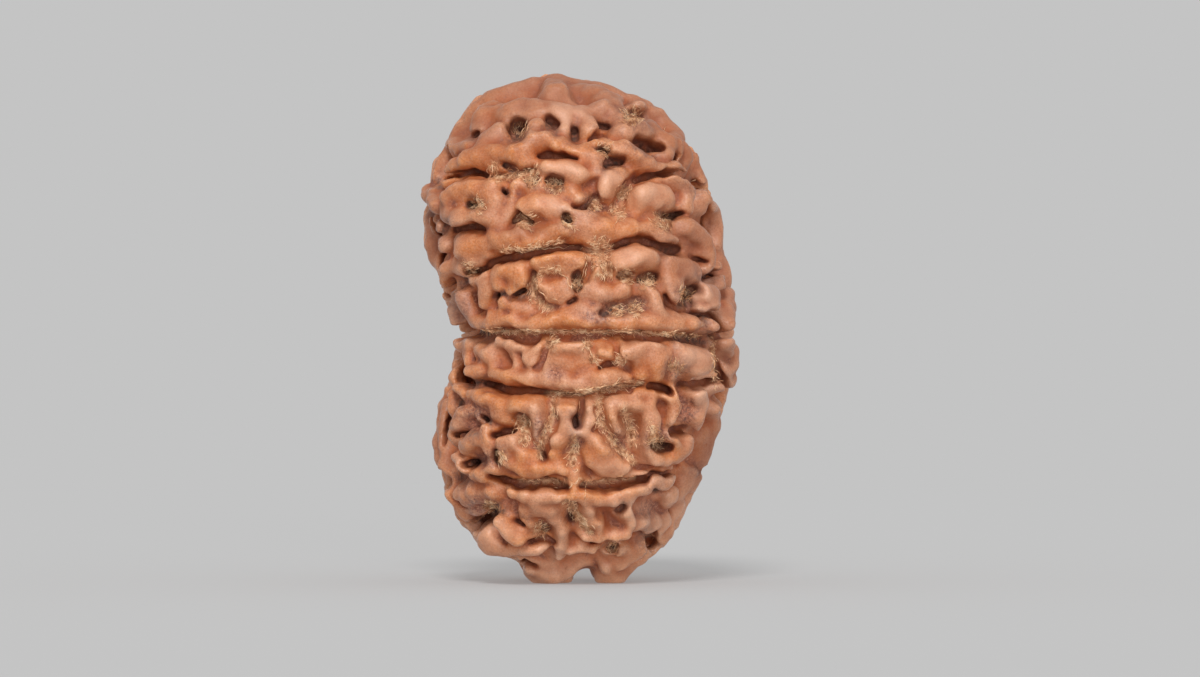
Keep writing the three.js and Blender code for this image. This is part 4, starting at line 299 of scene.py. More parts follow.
CUT_ROWS = """
# First line, a row of pits under the cap
left fold groove: 0.13 0 | -6 28.3, -6.15 27.8
gap under the fold: 0.16 0.1 | -6.3 26.75, -6.45 26.55
scooped pit: 0.5 1.1 | -3.7 27.15, -3.9 26.8
second pit: 0.26 0.7 | -2.1 27.4, -1.65 27.05
third pit: 0.24 0.7 | -0.5 26.9, -0.5 26.5
small pit: 0.17 0.4 | 1.05 27.4, 1.6 27.25
nose slot: 0.13 0.4 | 0.4 26.4, 0.85 26.7, 1.25 26.8
lens pit: 0.2 0.1 | 1.1 25.85, 1.5 25.8
fibre pit: 0.5 0.6 | 2.8 27.95, 3.4 27.65
cheek pit: 0.33 0.8 | 3.2 26.05, 3.7 25.9, 4.2 25.65
seam notch: 0.17 0.2 | 5.2 25.3, 5.15 24.95
round dark hole: 0.33 0.1 | 6.6 23.85, 6.95 23.7
temple slot: 0.2 0.7 | -8.25 25.1, -8.05 25.45, -7.5 25.6, -7.1 25.6
temple hole: 0.2 0.7 | -8.65 24.1, -8.5 23.75
# Second line
brow undercut: 0.17 0.7 | -8 23.55, -7.5 24, -6.9 24.4, -6.2 24.45, -5.6 24.2
second line left: 0.08 0.3 | -5.4 24.2, -4.6 24.2, -4 24.35, -3.2 24.55, -2.7 24.6
hole left of the pillow: 0.2 0.2 | -4.6 24.9, -4.1 24.65
slot over the pillow: 0.2 0.7 | -2.3 25.4, -1.9 25.5, -1.1 25.3 0.16, -0.2 25.05 0.08
pit right of the web: 0.26 0.5 | 1.4 24.8, 1.7 25.15, 2.2 25
slot over the pink pillow: 0.19 0.8 | 3 23.95, 3.6 24.15, 4.4 24.15, 5.1 24, 5.6 23.6, 5.8 23 0.1,
  5.75 22.4 0.1
left scratch pit: 0.26 0 | -3.1 23.95, -2.8 23.85
curly pit: 0.28 0.5 | -1.9 23.8, -1.35 23.65
# Between the second and third lines
boss pit: 0.28 0 | -6.5 22.6, -6.15 22.55
boss undercut: 0.16 0.4 | -7.35 21.05, -6.8 21.25, -6.2 21.2, -5.75 21.05
outline hole: 0.22 0.6 | -9 22.3, -9 22
fin hole: 0.17 0.5 | -8.45 21, -8.15 21.2, -8.05 21.6
fin groove: 0.12 0.4 | -7.9 20.2, -8.1 19.6, -8.35 19
pin hole: 0.12 0.6 | -4.45 23.3, -4.35 23.1
slot left of the pad: 0.2 0.6 | -4 21.65, -3.6 21.85, -3.25 21.5, -2.95 21.3
pit under the pad: 0.24 0.2 | -0.95 21.8, -0.9 21.45
slot under the saddle: 0.14 0.5 | -0.4 22.4, 0.05 22.5, 0.35 22.8
fibre channel: 0.24 0.2 | 3.3 24, 2.6 23.7, 2.35 23.1, 2.25 22.5, 1.8 22
striped channel: 0.2 0.2 | 0.65 23, 0.75 22.4, 1.3 22.15
hole under the pink pillow: 0.18 0.7 | 4.7 21.85, 5.1 21.9, 5.5 22
seam beside the roll: 0.14 0.5 | 6.5 22.2, 7.1 21.9, 7.5 21, 7.85 20.2
slot under the roll: 0.1 0.1 | 6.3 19.5, 6.7 19.35, 7.05 19.2
# Third line
third line left: 0.2 0.8 | -5.3 19.15, -4.5 19.4, -3.8 19.45, -3.1 19.45, -2.5 19.75, -1.8 19.9, -1 20,
  -0.1 20
third line far left: 0.14 0.5 | -6.6 18.8, -6 18.9, -5.3 19.05
third line fibres: 0.13 0.2 | -0.1 19.95, 0.8 19.85, 1.6 19.8
third line right: 0.2 0.8 | 1.9 20.1, 2.5 20.3, 3.2 20.5, 3.9 20.35, 4.5 20.05, 4.9 19.85, 5.4 19.85
third line pocket: 0.3 0.8 | 4.9 19.85, 5.3 19.9
# Between the third and fourth lines
hole behind the thumb: 0.2 0.8 | -7.4 17.55, -7.1 17.9, -6.9 18.2
thumb groove: 0.15 -0.2 | -6.5 17.5, -6.3 17, -6.1 16.4
column hole: 0.14 0.6 | -4.8 17.25, -4.6 17.25
lump hole: 0.18 0.7 | -3.7 17.2, -3.25 17.35
ring groove: 0.14 0.1 | -2.9 18.4, -2.95 17.7, -2.8 17.1, -2.4 16.7
ring crack: 0.12 -0.6 | -2.4 17.95, -2 18.15, -1.4 18.25
ring right pit: 0.25 0.2 | -0.4 18.3, -0.25 17.6
low crack: 0.13 0.1 | -0.75 16.8, -0.35 17
strand groove: 0.16 -0.3 | 0.35 19.4, 0.3 18.8, 0.05 18.1
fibre column: 0.22 -0.4 | 1.3 19.5, 1.35 18.9, 1.6 18.2
egg shadow: 0.25 0.1 | 2.2 18.35, 2.9 18.15
hole under the egg: 0.2 0.4 | 3.4 18, 3.9 18.1, 4.3 18.1
frayed pit: 0.26 -0.2 | 1.3 16.1, 1.9 16.4, 2.5 16.3
frayed pit right: 0.24 0.1 | 2.8 16.4, 3.4 16.7
leaf fold: 0.13 0.4 | 4.9 17, 5.1 16.5, 5.6 16.2, 6.3 16.1, 6.9 15.95
pit beside the knob: 0.34 0.5 | 6.5 17.6, 6.05 17.2, 5.95 16.75, 6.3 16.7
corner hole: 0.17 0.7 | 6.9 18.1, 7.3 18.35, 7.6 18.3
dark gap at the finger: 0.26 0.7 | 7.1 16, 7.5 15.7, 7.65 15.2, 7.6 14.9
# Fourth line, the long straight one
fourth line: 0.13 0.1 | -7 15.05, -5.9 15.05, -4.5 14.98, -3 14.95, -1.5 14.93, 0 14.95, 1.5 14.93,
  3 14.95, 4.5 14.85, 5.5 14.75, 6.5 14.65, 7.5 14.65, 8.3 14.8
fourth line left mouth: 0.24 0.8 | -6.6 15, -6 15.05, -5.6 14.95
fourth line shelf left: 0.22 0.2 | -4.5 14.7, -3.7 14.65, -2.7 14.6
fourth line shelf middle: 0.24 0.3 | -1.4 14.6, -0.7 14.65, 0 14.6
fourth line shelf right: 0.24 0.3 | 2.6 14.65, 3.4 14.75, 4.4 14.65
gap behind the fist: 0.25 0.6 | 5.6 14.55, 6.5 14.5, 7.3 14.4
right seam: 0.19 0.2 | 7.7 14.5, 7.8 13.8, 7.9 13, 7.95 12.4, 7.9 11.7
dimple: 0.24 -0.5 | -4.7 13.4, -4.3 13.35
curl crack: 0.1 -0.5 | -2.25 13.9, -2.3 13.4, -2.7 13
pad crack: 0.12 0 | 1.1 12.95, 1.6 13.15, 1.95 13.15
crack beside the body: 0.12 -0.4 | 2.1 14.4, 1.95 13.9, 2.2 13.4, 2.9 13.2
# Fifth line
fifth line far left: 0.13 0.6 | -7.5 13.05, -7 12.7, -6.6 12.35, -6.1 12.3
fifth line pocket: 0.27 0.9 | -6.6 11.95, -6.1 12, -5.85 12.05
fifth line left: 0.23 0.9 | -5.2 12, -4.6 11.75, -4 11.5, -3.4 11.4, -2.8 11.4, -2.2 11.3 0.15
fifth line middle: 0.09 0.4 | -2.2 11.4, -1.2 11.4, 0 11.45, 1.2 11.65, 2.4 11.85, 3.5 12
fifth line shelf: 0.2 0.2 | 1.3 11.3, 2 11.55, 2.8 11.6
fifth line right: 0.24 0.9 | 3.9 11.85, 4.4 11.7, 4.9 11.6
fifth line far right: 0.19 0.7 | 5.7 12, 6.4 11.9, 7.1 12.05, 7.5 12.4
# Between the fifth and sixth lines
finger hole: 0.2 0.8 | -7.2 10.85, -7.45 10.3, -7.8 9.95
fin crack: 0.12 0.5 | -8.25 9.7, -8.15 9.1, -7.9 8.4
hole above the star: 0.15 0.5 | -5.65 9.75, -5.4 9.6
hole left of the star: 0.16 0.7 | -6.8 8.9, -6.3 8.85
slot right of the star: 0.2 0.7 | -4.9 8.85, -4.4 9.15, -3.85 9.2
fibre hollow: 0.28 0.2 | -3.7 9.9, -3.35 9.5
pit under the star: 0.22 0.3 | -4.85 7.9, -4.8 7.4
pit left of the pad: 0.24 0.7 | -6.4 7.15, -6 7.3
low left hole: 0.23 0.7 | -7.45 6.5, -7.2 6.3, -6.9 6.2
left fibre strip: 0.22 -0.4 | -1.65 11, -1.75 10.2, -1.95 9.5, -2.25 8.9, -2.3 8.2
low slit: 0.16 0.4 | -2.4 7.9, -2.25 7.6
arch pit: 0.22 0.6 | -0.35 10, -0.25 9.7
strip right of the bar: 0.16 0 | 0 10.9, -0.1 10.2
arch hollow: 0.3 -0.4 | -0.4 8.6, -0.5 8, -0.6 7.2
right fibre strip: 0.2 -0.2 | 1 11.3, 0.95 10.4, 1.05 9.6, 1.4 9, 1.9 8.4, 2.6 7.7, 3.2 7.3
shield hollow: 0.33 0.1 | 2.65 10, 2.9 9.4, 3 8.8
crack by the slim block: 0.13 -0.2 | 4.85 10.7, 4.75 10
brown slot: 0.24 0.7 | 5 9.25, 5.6 9.3, 6.1 9.45
pit inside the hook: 0.24 0.5 | 4 8.55, 4.5 8.4, 4.9 8.45
slot at the lobe: 0.17 0 | 3.4 6.95, 3.9 6.9
# Sixth line
sixth line left: 0.2 0.9 | -4.9 6.7, -4.3 6.4, -3.6 6.1, -2.8 6.1, -2 6.15, -1.4 6, -0.9 5.9
sixth line right: 0.24 0.9 | 0 6.05, 0.7 6, 1.4 6, 2.2 6.15, 3 6.35, 3.5 6.4
sixth line far right: 0.12 0.4 | 3.9 6.6, 4.6 6.65, 5.3 6.8, 5.7 7.05
outline dark hole: 0.24 -0.2 | 6.95 6.75, 7 6.6
# Between the sixth and seventh lines
big dark hole: 0.28 0.9 | -6 3.75, -5.5 3.95, -5.1 4.25, -4.8 4.3
corner crack: 0.14 0.5 | -6.4 3.4, -6.1 3.6
frayed hole: 0.24 0.3 | -5.4 4.6, -5.1 4.6
crack between the lobes: 0.1 -0.5 | -4.95 3.3, -4.75 2.75, -4.5 2.4
hole over the second lobe: 0.15 0.1 | -3.75 3.95, -3.35 3.85
low left groove: 0.2 0.2 | -2.9 2.75, -2.2 2.75, -1.6 2.5
low pin hole: 0.14 0.5 | -2.3 3.45, -2.1 3.4
low fibre strip: 0.23 -0.3 | -0.9 4.9, -0.45 4.4, -0.1 3.8, 0.2 3.3
hole beside the strip: 0.16 0.5 | -0.65 4.1, -0.55 3.9
hole in the bowl: 0.2 0.1 | 2.45 4.75, 2.2 4.4
bowl: 0.4 -0.4 | 1.3 3.9, 1.9 3.5
red hollow: 0.32 0 | 3.2 4.8, 3.5 4.4, 3.9 4.35
small holes: 0.17 0.2 | 4.05 5.7, 4.5 5.5
low right hole: 0.36 0.3 | 3.9 3, 3.8 2.7, 3.9 2.4
# Seventh line
seventh line right: 0.1 0.1 | 0.5 2.4, 1.2 2.45, 2.1 2.35
seventh line pit: 0.18 0.2 | 1.5 2.2, 1.9 2.1
foot slot: 0.15 0.4 | -3.6 1.6, -3.1 1.65, -2.6 1.5
notch under the outer ear: 0.3 0.2 | 8.4 11.3, 9.2 11.2
notch under the long fin: 0.3 0.3 | -9.2 6.5, -8.5 6.6
"""


def rows_of(text):
    """The rows of a text, as [name, radius, size, points]."""
    rows = []
    for line in text.replace(",\n", ",").splitlines():
        if "|" in line:
            head, path = line.split("|")
            name, sizes = head.split(":")
            radius, size = (float(word) for word in sizes.split())
            points = [[float(word) for word in point.split()] for point in path.split(",")]
            rows.append([name, radius, size, points])
    return rows


RIDGES = rows_of(RIDGE_ROWS)
CUTS = rows_of(CUT_ROWS)

# Hollows under the seed, beside and between its feet: [[x, y], [x, y], radius, height of the middle]
NOTCHES = [
    [[-4.9, -6], [-4.9, 6], 1.5, 0.1],
    [[0.2, -6], [0.2, 6], 0.75, 0.2],
    [[-6, 0.1], [6, 0.1], 0.7, 0.15],
]

# Feet under the weight: [x, y, radius, height of the middle]
FEET = [
    [-2.0, -1.8, 1.15, 0.75],
    [1.7, -1.6, 1.1, 0.75],
    [-1.8, 1.9, 1.15, 0.75],
    [1.7, 1.8, 1.1, 0.75],
]

# Grooves across the poles, where the kidney folds: [radius, depth, [[x, y, z], ...]]
POLE_CUTS = [
    [0.35, 0.3, [[-8.5, -3.2, 15.0], [-8.5, -1.6, 14.95], [-8.5, 0, 15.0], [-8.5, 1.8, 15.1],
     [-8.5, 3.6, 15.0]]],
    [0.3, -0.2, [[9, -2.5, 15.1], [9, -0.8, 15.05], [9, 1, 15.1]]],
]

# Angles of the lines round the back, in degrees about X: 0 is the front, 90 the top, 180 the back
BACK_LINES = [98, 120, 142, 164, 186, 208, 230, 252, 276]
BACK_FIRST_EDGE = 84
BACK_LAST_EDGE = 292
BACK_SEED = 41


def make_draw(seed):
    """Repeatable draws between two bounds, the same as the part's source makes."""
    state = [seed]

    def draw(low=0, high=1):
        state[0] = (state[0] * 16807) % 2147483647
        return low + (high - low) * (state[0] / 2147483647)

    return draw


def body_gauge(x, y, z):
    """1 on the body's surface, less inside."""
    rise = z - BODY_MIDDLE
    fullness = np.where(rise > 0, TOP_FULLNESS, BOTTOM_FULLNESS)
    waist = np.exp(-(((z - WAIST_HEIGHT) / WAIST_REACH) ** 2))
    lean = TOP_LEAN * (np.maximum(rise, 0) / BODY_TOP_HEIGHT) ** 3
    middle = ENDS_SHIFT + lean + WAIST_SHIFT * waist
    lower = (1 - np.tanh(rise / 4)) / 2
    half_width = (BODY_HALF_WIDTH - LOWER_NARROWING * lower) * (1 - WAIST_NARROWING * waist)
    across = np.abs(x - middle) / half_width
    along = np.abs(y) / BODY_HALF_DEPTH
    section = (across**SECTION_FULLNESS + along**SECTION_FULLNESS) ** (1 / SECTION_FULLNESS)
    height = np.abs(rise) / np.where(rise > 0, BODY_TOP_HEIGHT, BODY_BOTTOM_DEPTH)
    return (section**fullness + height**fullness) ** (1 / fullness)


def gauge_slope(x, y, z):
    step = 0.01
    return np.stack([
        body_gauge(x + step, y, z) - body_gauge(x - step, y, z),
        body_gauge(x, y + step, z) - body_gauge(x, y - step, z),
        body_gauge(x, y, z + step) - body_gauge(x, y, z - step),
    ], axis=-1) / (2 * step)


def body_distance(x, y, z):
    return (body_gauge(x, y, z) - 1) / np.linalg.norm(gauge_slope(x, y, z), axis=-1)


def body_normal(points):
    slope = gauge_slope(*points.T)
    return slope / np.linalg.norm(slope, axis=-1, keepdims=True)


def settle(points, level):
    """Moves points onto the surface that lies at this level above the body."""
    points = np.array(points, dtype=float)
    for _ in range(6):
        gap = body_distance(*points.T) - level
        points = points - body_normal(points) * gap[:, None]
    return points


def front_points(x, z, level):
    """The points at this level seen at x, z from the front, or the nearest ones on the outline."""
    outside = np.full_like(x, SIGHT_START)
    inside = np.full_like(x, np.nan)
    for y in np.arange(SIGHT_START, 0.01, SIGHT_STEP):
        inside[np.isnan(inside) & (body_distance(x, y, z - y * SIGHT_SLOPE) <= level)] = y
        outside[np.isnan(inside)] = y
    missed = np.isnan(inside)
    inside[missed] = 0
    for _ in range(20):
        half = (outside + inside) / 2
        within = body_distance(x, half, z - half * SIGHT_SLOPE) <= level
        inside = np.where(within, half, inside)
        outside = np.where(within, outside, half)
    points = np.stack([x, inside, z - inside * SIGHT_SLOPE], axis=1)
    points[missed] = settle(np.stack([x, np.zeros_like(x), z], axis=1), level)[missed]
    return points


def round_points(path, level):
    """Points at this level, each in the direction with an angle about X and an angle to the right pole."""
    turn, pole = np.radians(np.array(path, dtype=float)).T
    return settle(np.stack([
        BODY_HALF_WIDTH * np.sin(pole),
        -BODY_HALF_DEPTH * np.cos(pole) * np.cos(turn),
        BODY_MIDDLE + BODY_TOP_HEIGHT * np.cos(pole) * np.sin(turn),
    ], axis=1), level)


def make_stroke(points, radii):
    """A chain of capsules."""
    return {"points": points, "radii": radii, "normals": body_normal(points)}


def spans(strokes):
    """Each stroke with the number of each of its capsules and that capsule's ends."""
    for stroke in strokes:
        for i in range(max(1, len(stroke["points"]) - 1)):
            yield stroke, i, stroke["points"][i:i + 2]


def front_strokes(rows, axis_level, lean=0):
    """The strokes of the rows of the front, with normals that lean to the viewer.

    axis_level gives the level of an axis from its radius and its row's size.
    """
    xs, zs, radii, levels, lengths = [], [], [], [], []
    for _, radius, size, path in rows:
        lengths.append(len(path))
        for point in path:
            own = point[2] if len(point) > 2 else radius
            xs.append(point[0])
            zs.append(point[1])
            radii.append(own)
            levels.append(axis_level(own, size))
    points = front_points(np.array(xs), np.array(zs), np.array(levels))
    strokes = []
    start = 0
    for length in lengths:
        stroke = make_stroke(points[start:start + length], radii[start:start + length])
        leaning = stroke["normals"] - np.array([0, lean, 0])
        stroke["normals"] = leaning / np.linalg.norm(leaning, axis=-1, keepdims=True)
        strokes.append(stroke)
        start += length
    return strokes


def make_waver(draw):
    """How one line of the back wavers about its own angle."""
    reach = draw(0.8, 2.2)
    waves = draw(2.2, 4.2)
    start = draw(0, 6.28)
    return lambda pole: reach * math.sin(waves * math.radians(pole) + start)


def lip_strokes(draw, ridge, lower, upper):
    """Broken lips along both sides of a band of the back."""
    for side in (0, 1):
        pole = -70 + draw(0, 6)
        while pole < 66:
            length = draw(10, 34)
            end = min(pole + length, 72)
            offset = draw(4.0, 5.4)
            path = []
            at = pole
            while at <= end:
                inset = offset + draw(-0.9, 0.9)
                path.append([upper(at) - inset if side else lower(at) + inset, at])
                at += 6
            if len(path) > 1:
                ridge(path, draw(0.4, 0.56), draw(0.95, 1.3))
            pole = end + draw(4, 8)


def rib_strokes(draw, ridge, cut, lower, upper):
    """Ribs and knobs across a band of the back, with pits between them."""
    pole = -60 + draw(0, 8)
    while pole < 60:
        first = lower(pole) + 4.5
        last = upper(pole) - 4.5
        if draw() < 0.55:
            lean = draw(-7, 7)
            middle = (first + last) / 2 + draw(-2, 2)
            path = [[first, pole - lean], [middle, pole + draw(-2, 2)], [last, pole + lean]]
            ridge(path, draw(0.36, 0.55), draw(0.8, 1.2))
        else:
            centre = (first + last) / 2 + draw(-3, 3)
            start = [centre - draw(0.5, 2.5), pole - draw(1, 4)]
            end = [centre + draw(0.5, 2.5), pole + draw(1, 4)]
            ridge([start, end], draw(0.5, 0.75), draw(1.0, 1.35))
        step = draw(11, 17)
        if draw() < 0.7:
            centre = (lower(pole) + upper(pole)) / 2 + draw(-4, 4)
            beside = pole + step / 2
            cut([[centre - 1, beside - 1], [centre + 1, beside + 1]], draw(0.2, 0.34), draw(0.1, 0.7))
        pole += step


def line_strokes(draw, cut, upper):
    """One line of the back, bridged here and there."""
    start = -68
    while start < 60:
        end = min(start + draw(24, 52), 68)
        path = []
        at = start
        while at <= end:
            path.append([upper(at), at])
            at += 6
        if len(path) > 1:
            cut(path, draw(0.14, 0.24), draw(0.7, 1.0))
        start = end + draw(4, 7)


def back_relief():
    """The relief of the back, the top and the poles, by the same rule and draws as the part's source."""
    draw = make_draw(BACK_SEED)
    ridges = []
    cuts = []

    def ridge(path, radius, crest):
        ridges.append(make_stroke(round_points(path, crest + EXTRA_CREST - radius), [radius] * len(path)))

    def cut(path, radius, depth):
        cuts.append(make_stroke(round_points(path, radius - depth + CUT_LIFT), [radius] * len(path)))

    edges = [BACK_FIRST_EDGE, *BACK_LINES, BACK_LAST_EDGE]
    wavers = [make_waver(draw) for _ in edges]
    for band in range(len(edges) - 1):
        def lower(pole):
            return edges[band] + wavers[band](pole)

        def upper(pole):
            return edges[band + 1] + wavers[band + 1](pole)

        lip_strokes(draw, ridge, lower, upper)
        rib_strokes(draw, ridge, cut, lower, upper)
        if band + 2 < len(edges):
            line_strokes(draw, cut, upper)
    for radius, depth, path in POLE_CUTS:
        cuts.append(make_stroke(settle(path, radius - depth), [radius] * len(path)))
    for side in (-1, 1):
        slit = [[9 * side, 0.5 + draw(-0.35, 0.35), 8 + 1.5 * i] for i in range(11)]
        cuts.append(make_stroke(settle(slit, -0.5), [0.25] * len(slit)))
        for i in range(10):
            z = 4.5 + 2.1 * i
            near = [8.5 * side, draw(1.2, 1.7), z]
            far = [8.3 * side, draw(1.9, 2.8), z + draw(0.6, 1.4)]
            radius = draw(0.45, 0.62)
            ridges.append(make_stroke(settle([near, far], 0.5 + EXTRA_CREST), [radius, radius]))
    return ridges, cuts


def lattice_noise(shape, spacing, seed):
    """Smooth noise between about -1 and 1 on a grid, with one draw every spacing cells."""
    draws = np.random.default_rng(seed)
    noise = draws.uniform(-1, 1, [math.ceil(n / spacing) + 2 for n in shape]).astype(np.float32)
    for axis, n in enumerate(shape):
        place = np.arange(n) / spacing
        low = place.astype(int)
        share = (place - low).astype(np.float32)
        share = share * share * (3 - 2 * share)
        share = share.reshape([-1 if a == axis else 1 for a in range(3)])
        noise = np.take(noise, low, axis) * (1 - share) + np.take(noise, low + 1, axis) * share
    return noise


def share_along(away, run):
    """How far along a run each offset is, from 0 to 1."""
    length = float(run @ run)
    return np.clip(sum(a * r for a, r in zip(away, run)) / length, 0, 1) if length > 0 else 0


def blended_least(a, b, blend):
    """The lesser of two distances, with a round fillet where they are near each other."""
    overlap = np.maximum(blend - np.abs(a - b), 0) / blend
    return np.minimum(a, b) - overlap * overlap * (blend / 4)


class Grid:
    """The field of the seed on a grid: below 0 inside. Its corners are a little astray, as nature's are."""

    def __init__(self):
        axes = [np.arange(a, b, CELL, dtype=np.float32) for a, b in zip(GRID_LOW, GRID_HIGH)]
        self.shape = tuple(len(axis) for axis in axes)
        self.places = np.meshgrid(*axes, indexing="ij", sparse=True)
        self.astray = [self.with_noise(place, STRAYING, i) for i, place in enumerate(self.places)]
        gauge = body_gauge(*self.astray).astype(np.float32)
        slope = np.sqrt(sum(part**2 for part in np.gradient(gauge, CELL)))
        level = (gauge - 1) / np.maximum(slope, 0.02)
        self.lumps = self.with_noise(0, SWELLING)
        self.field = level + self.lumps

    def with_noise(self, values, layers, axis=0):
        for spacing, reach, seed in layers:
            values = values + lattice_noise(self.shape, spacing / CELL, seed + axis) * reach
        return values

    def window(self, points, reach):
        """The part of the grid within reach of the points."""
        low = np.maximum(np.floor((np.min(points, axis=0) - reach - GRID_LOW) / CELL).astype(int), 0)
        high = np.ceil((np.max(points, axis=0) + reach - GRID_LOW) / CELL).astype(int) + 1
        return tuple(slice(a, b) for a, b in zip(low, high))

    def span(self, part, stroke, i):
        """One capsule of a stroke and a part of the grid: the places' offsets from its start, its run and
        normal, the offsets' rise along the normal, its first radius and how much that grows."""
        j = min(i + 1, len(stroke["points"]) - 1)
        start = stroke["points"][i]
        run = (stroke["points"][j] - start).astype(np.float32)
        normal = stroke["normals"][i].astype(np.float32)
        away = [place[part] - np.float32(s) for place, s in zip(self.astray, start)]
        rise = sum(a * n for a, n in zip(away, normal))
        return away, run, normal, rise, stroke["radii"][i], stroke["radii"][j] - stroke["radii"][i]

    def capsule(self, part, stroke, i, flared=False):
        """Distance to one capsule of a stroke. A flared one stands on flanks that widen below its axis."""
        away, run, normal, rise, radius, growth = self.span(part, stroke, i)
        drop = 0
        if flared:
            drop = np.clip(-rise, 0, FLARE_DEPTH)
            away = [a + n * drop for a, n in zip(away, normal)]
        share = share_along(away, run)
        radius = radius + growth * share + RIDGE_FLARE * drop
        return np.sqrt(sum((a - r * share) ** 2 for a, r in zip(away, run))) - radius

    def slot(self, part, stroke, i):
        """Distance to one capsule of a cut, which is open above its axis along the cut's normal."""
        away, run, normal, rise, radius, growth = self.span(part, stroke, i)
        climb = float(run @ normal)
        run = run - normal * climb
        away = [a - n * rise for a, n in zip(away, normal)]
        share = share_along(away, run)
        below = np.minimum(rise - climb * share, 0)
        side = sum((a - r * share) ** 2 for a, r in zip(away, run))
        return np.sqrt(side + below**2) - radius - growth * share

    def add(self, strokes):
        """Ridges, blended a little with each other and more widely with the body."""
        ridges = np.full(self.shape, 3.0, dtype=np.float32)
        for stroke, i, ends in spans(strokes):
            part = self.window(ends, max(stroke["radii"]) + RIDGE_FLARE * FLARE_DEPTH + FLANK_BLEND)
            ridges[part] = blended_least(ridges[part], self.capsule(part, stroke, i, True), RIDGE_BLEND)
        self.field = blended_least(self.field, ridges + self.lumps, FLANK_BLEND)

    def take(self, part, distance, blend):
        """Takes away what lies within a distance field."""
        self.field[part] = -blended_least(-self.field[part], distance, blend)

    def cut(self, strokes):
        for stroke, i, ends in spans(strokes):
            tops = ends + stroke["normals"][i:i + 2] * CUT_REACH
            part = self.window(np.concatenate([ends, tops]), max(stroke["radii"]) + CUT_BLEND + 0.3)
            self.take(part, self.slot(part, stroke, i), CUT_BLEND)

    def stand(self):
        """Parts the feet, adds them and cuts them flat."""
        for first, last, radius, middle in NOTCHES:
            hollow = make_stroke(np.array([[*first, middle], [*last, middle]]), [radius, radius])
            part = self.window(hollow["points"], radius + RIDGE_BLEND)
            self.take(part, self.capsule(part, hollow, 0), RIDGE_BLEND)
        for x, y, radius, middle in FEET:
            foot = make_stroke(np.array([[x, y, middle]]), [radius])
            part = self.window(foot["points"], radius + RIDGE_BLEND + 0.3)
            self.field[part] = blended_least(self.field[part], self.capsule(part, foot, 0), RIDGE_BLEND)
        self.field = np.maximum(self.field, -self.places[2])

    def spread(self, values, reach):
        """Values smoothed by the mean over a small cube about each, twice, which is near a round mean."""
        cells = max(1, round(reach / CELL))
        for axis in (0, 1, 2, 0, 1, 2):
            padded = np.concatenate([np.repeat(np.take(values, [0], axis), cells + 1, axis), values,
                                     np.repeat(np.take(values, [-1], axis), cells, axis)], axis)
            sums = np.cumsum(padded, axis, dtype=np.float64)
            n = values.shape[axis]
            width = 2 * cells + 1
            upper = np.take(sums, np.arange(width, width + n), axis)
            values = ((upper - np.take(sums, np.arange(n), axis)) / width).astype(np.float32)
        return values

    def read(self, values, points):
        """Values of the grid at points, smoothly between its corners."""
        place = (points - GRID_LOW) / CELL
        low = np.clip(place.astype(int), 0, np.array(self.shape) - 2)
        share = place - low
        total = 0
        for corner in np.ndindex(2, 2, 2):
            weight = np.prod(np.where(np.array(corner) == 1, share, 1 - share), axis=1)
            i, j, k = (low + corner).T
            total = total + weight * values[i, j, k]
        return total


def surface_of(grid):
    """The grid's surface as corners in mm and three- and four-sided faces, facing out."""
    volume = openvdb.FloatGrid(background=1.0)
    volume.copyFromArray(np.ascontiguousarray(grid.field, dtype=np.float32))
    corners, triangles, quads = volume.convertToPolygons(isovalue=0.0)
    corners = corners * CELL + GRID_LOW
    faces = np.concatenate([triangles[:, :3], quads[:, :3], quads[:, [0, 2, 3]]]).astype(np.int64)
    a, b, c = (corners[faces[:, i]] for i in range(3))
    if np.einsum("ij,ij->", a, np.cross(b, c)) < 0:
        faces = faces[:, ::-1]
    return corners, faces


def largest_body(corners, faces):
    """Keeps the biggest connected body, so that no crumb hangs loose."""
    label = np.arange(len(corners))
    while True:
        lowest = label[faces].min(axis=1)
        updated = label.copy()
        for i in range(3):
            np.minimum.at(updated, faces[:, i], lowest)
        updated = updated[updated]
        if np.array_equal(updated, label):
            break
        label = updated
    biggest = np.bincount(label[faces[:, 0]]).argmax()
    faces = faces[label[faces[:, 0]] == biggest]
    used, faces = np.unique(faces, return_inverse=True)
    return corners[used], faces.reshape(-1, 3)


def mesh_object(name, corners, faces):
    """A mesh object from corners in metres."""
    mesh = bpy.data.meshes.new(name)
    mesh.vertices.add(len(corners))
    mesh.vertices.foreach_set("co", np.asarray(corners, dtype=np.float32).ravel())
    mesh.loops.add(faces.size)
    mesh.loops.foreach_set("vertex_index", faces.astype(np.int32).ravel())
    mesh.polygons.add(len(faces))
    mesh.polygons.foreach_set("loop_start", np.arange(0, faces.size, faces.shape[1], dtype=np.int32))
    mesh.polygons.foreach_set("use_smooth", np.ones(len(faces), dtype=bool))
    mesh.update(calc_edges=True)
    mesh.validate()
    thing = bpy.data.objects.new(name, mesh)
    bpy.context.scene.collection.objects.link(thing)
    return thing


def thin_out(thing, most):
    """Merges the flattest faces until at most this many are left."""
    count = len(thing.data.polygons)
    if count <= most:
        return
    fewer = thing.modifiers.new("fewer faces", "DECIMATE")
    fewer.ratio = most / count
    shown = thing.evaluated_get(bpy.context.evaluated_depsgraph_get())
    thinned = bpy.data.meshes.new_from_object(shown)
    thing.modifiers.clear()
    thing.data = thinned
    thinned.polygons.foreach_set("use_smooth", np.ones(len(thinned.polygons), dtype=bool))


def at_corners(thing, name):
    """What the mesh holds at each corner: its place, co, or its normal."""
    values = np.empty(len(thing.data.vertices) * 3, dtype=np.float32)
    thing.data.vertices.foreach_get(name, values)
    return values.reshape(-1, 3).astype(float)


def set_values(thing, name, values):
    thing.data.attributes.new(name, "FLOAT", "POINT").data.foreach_set("value", values.astype(np.float32))


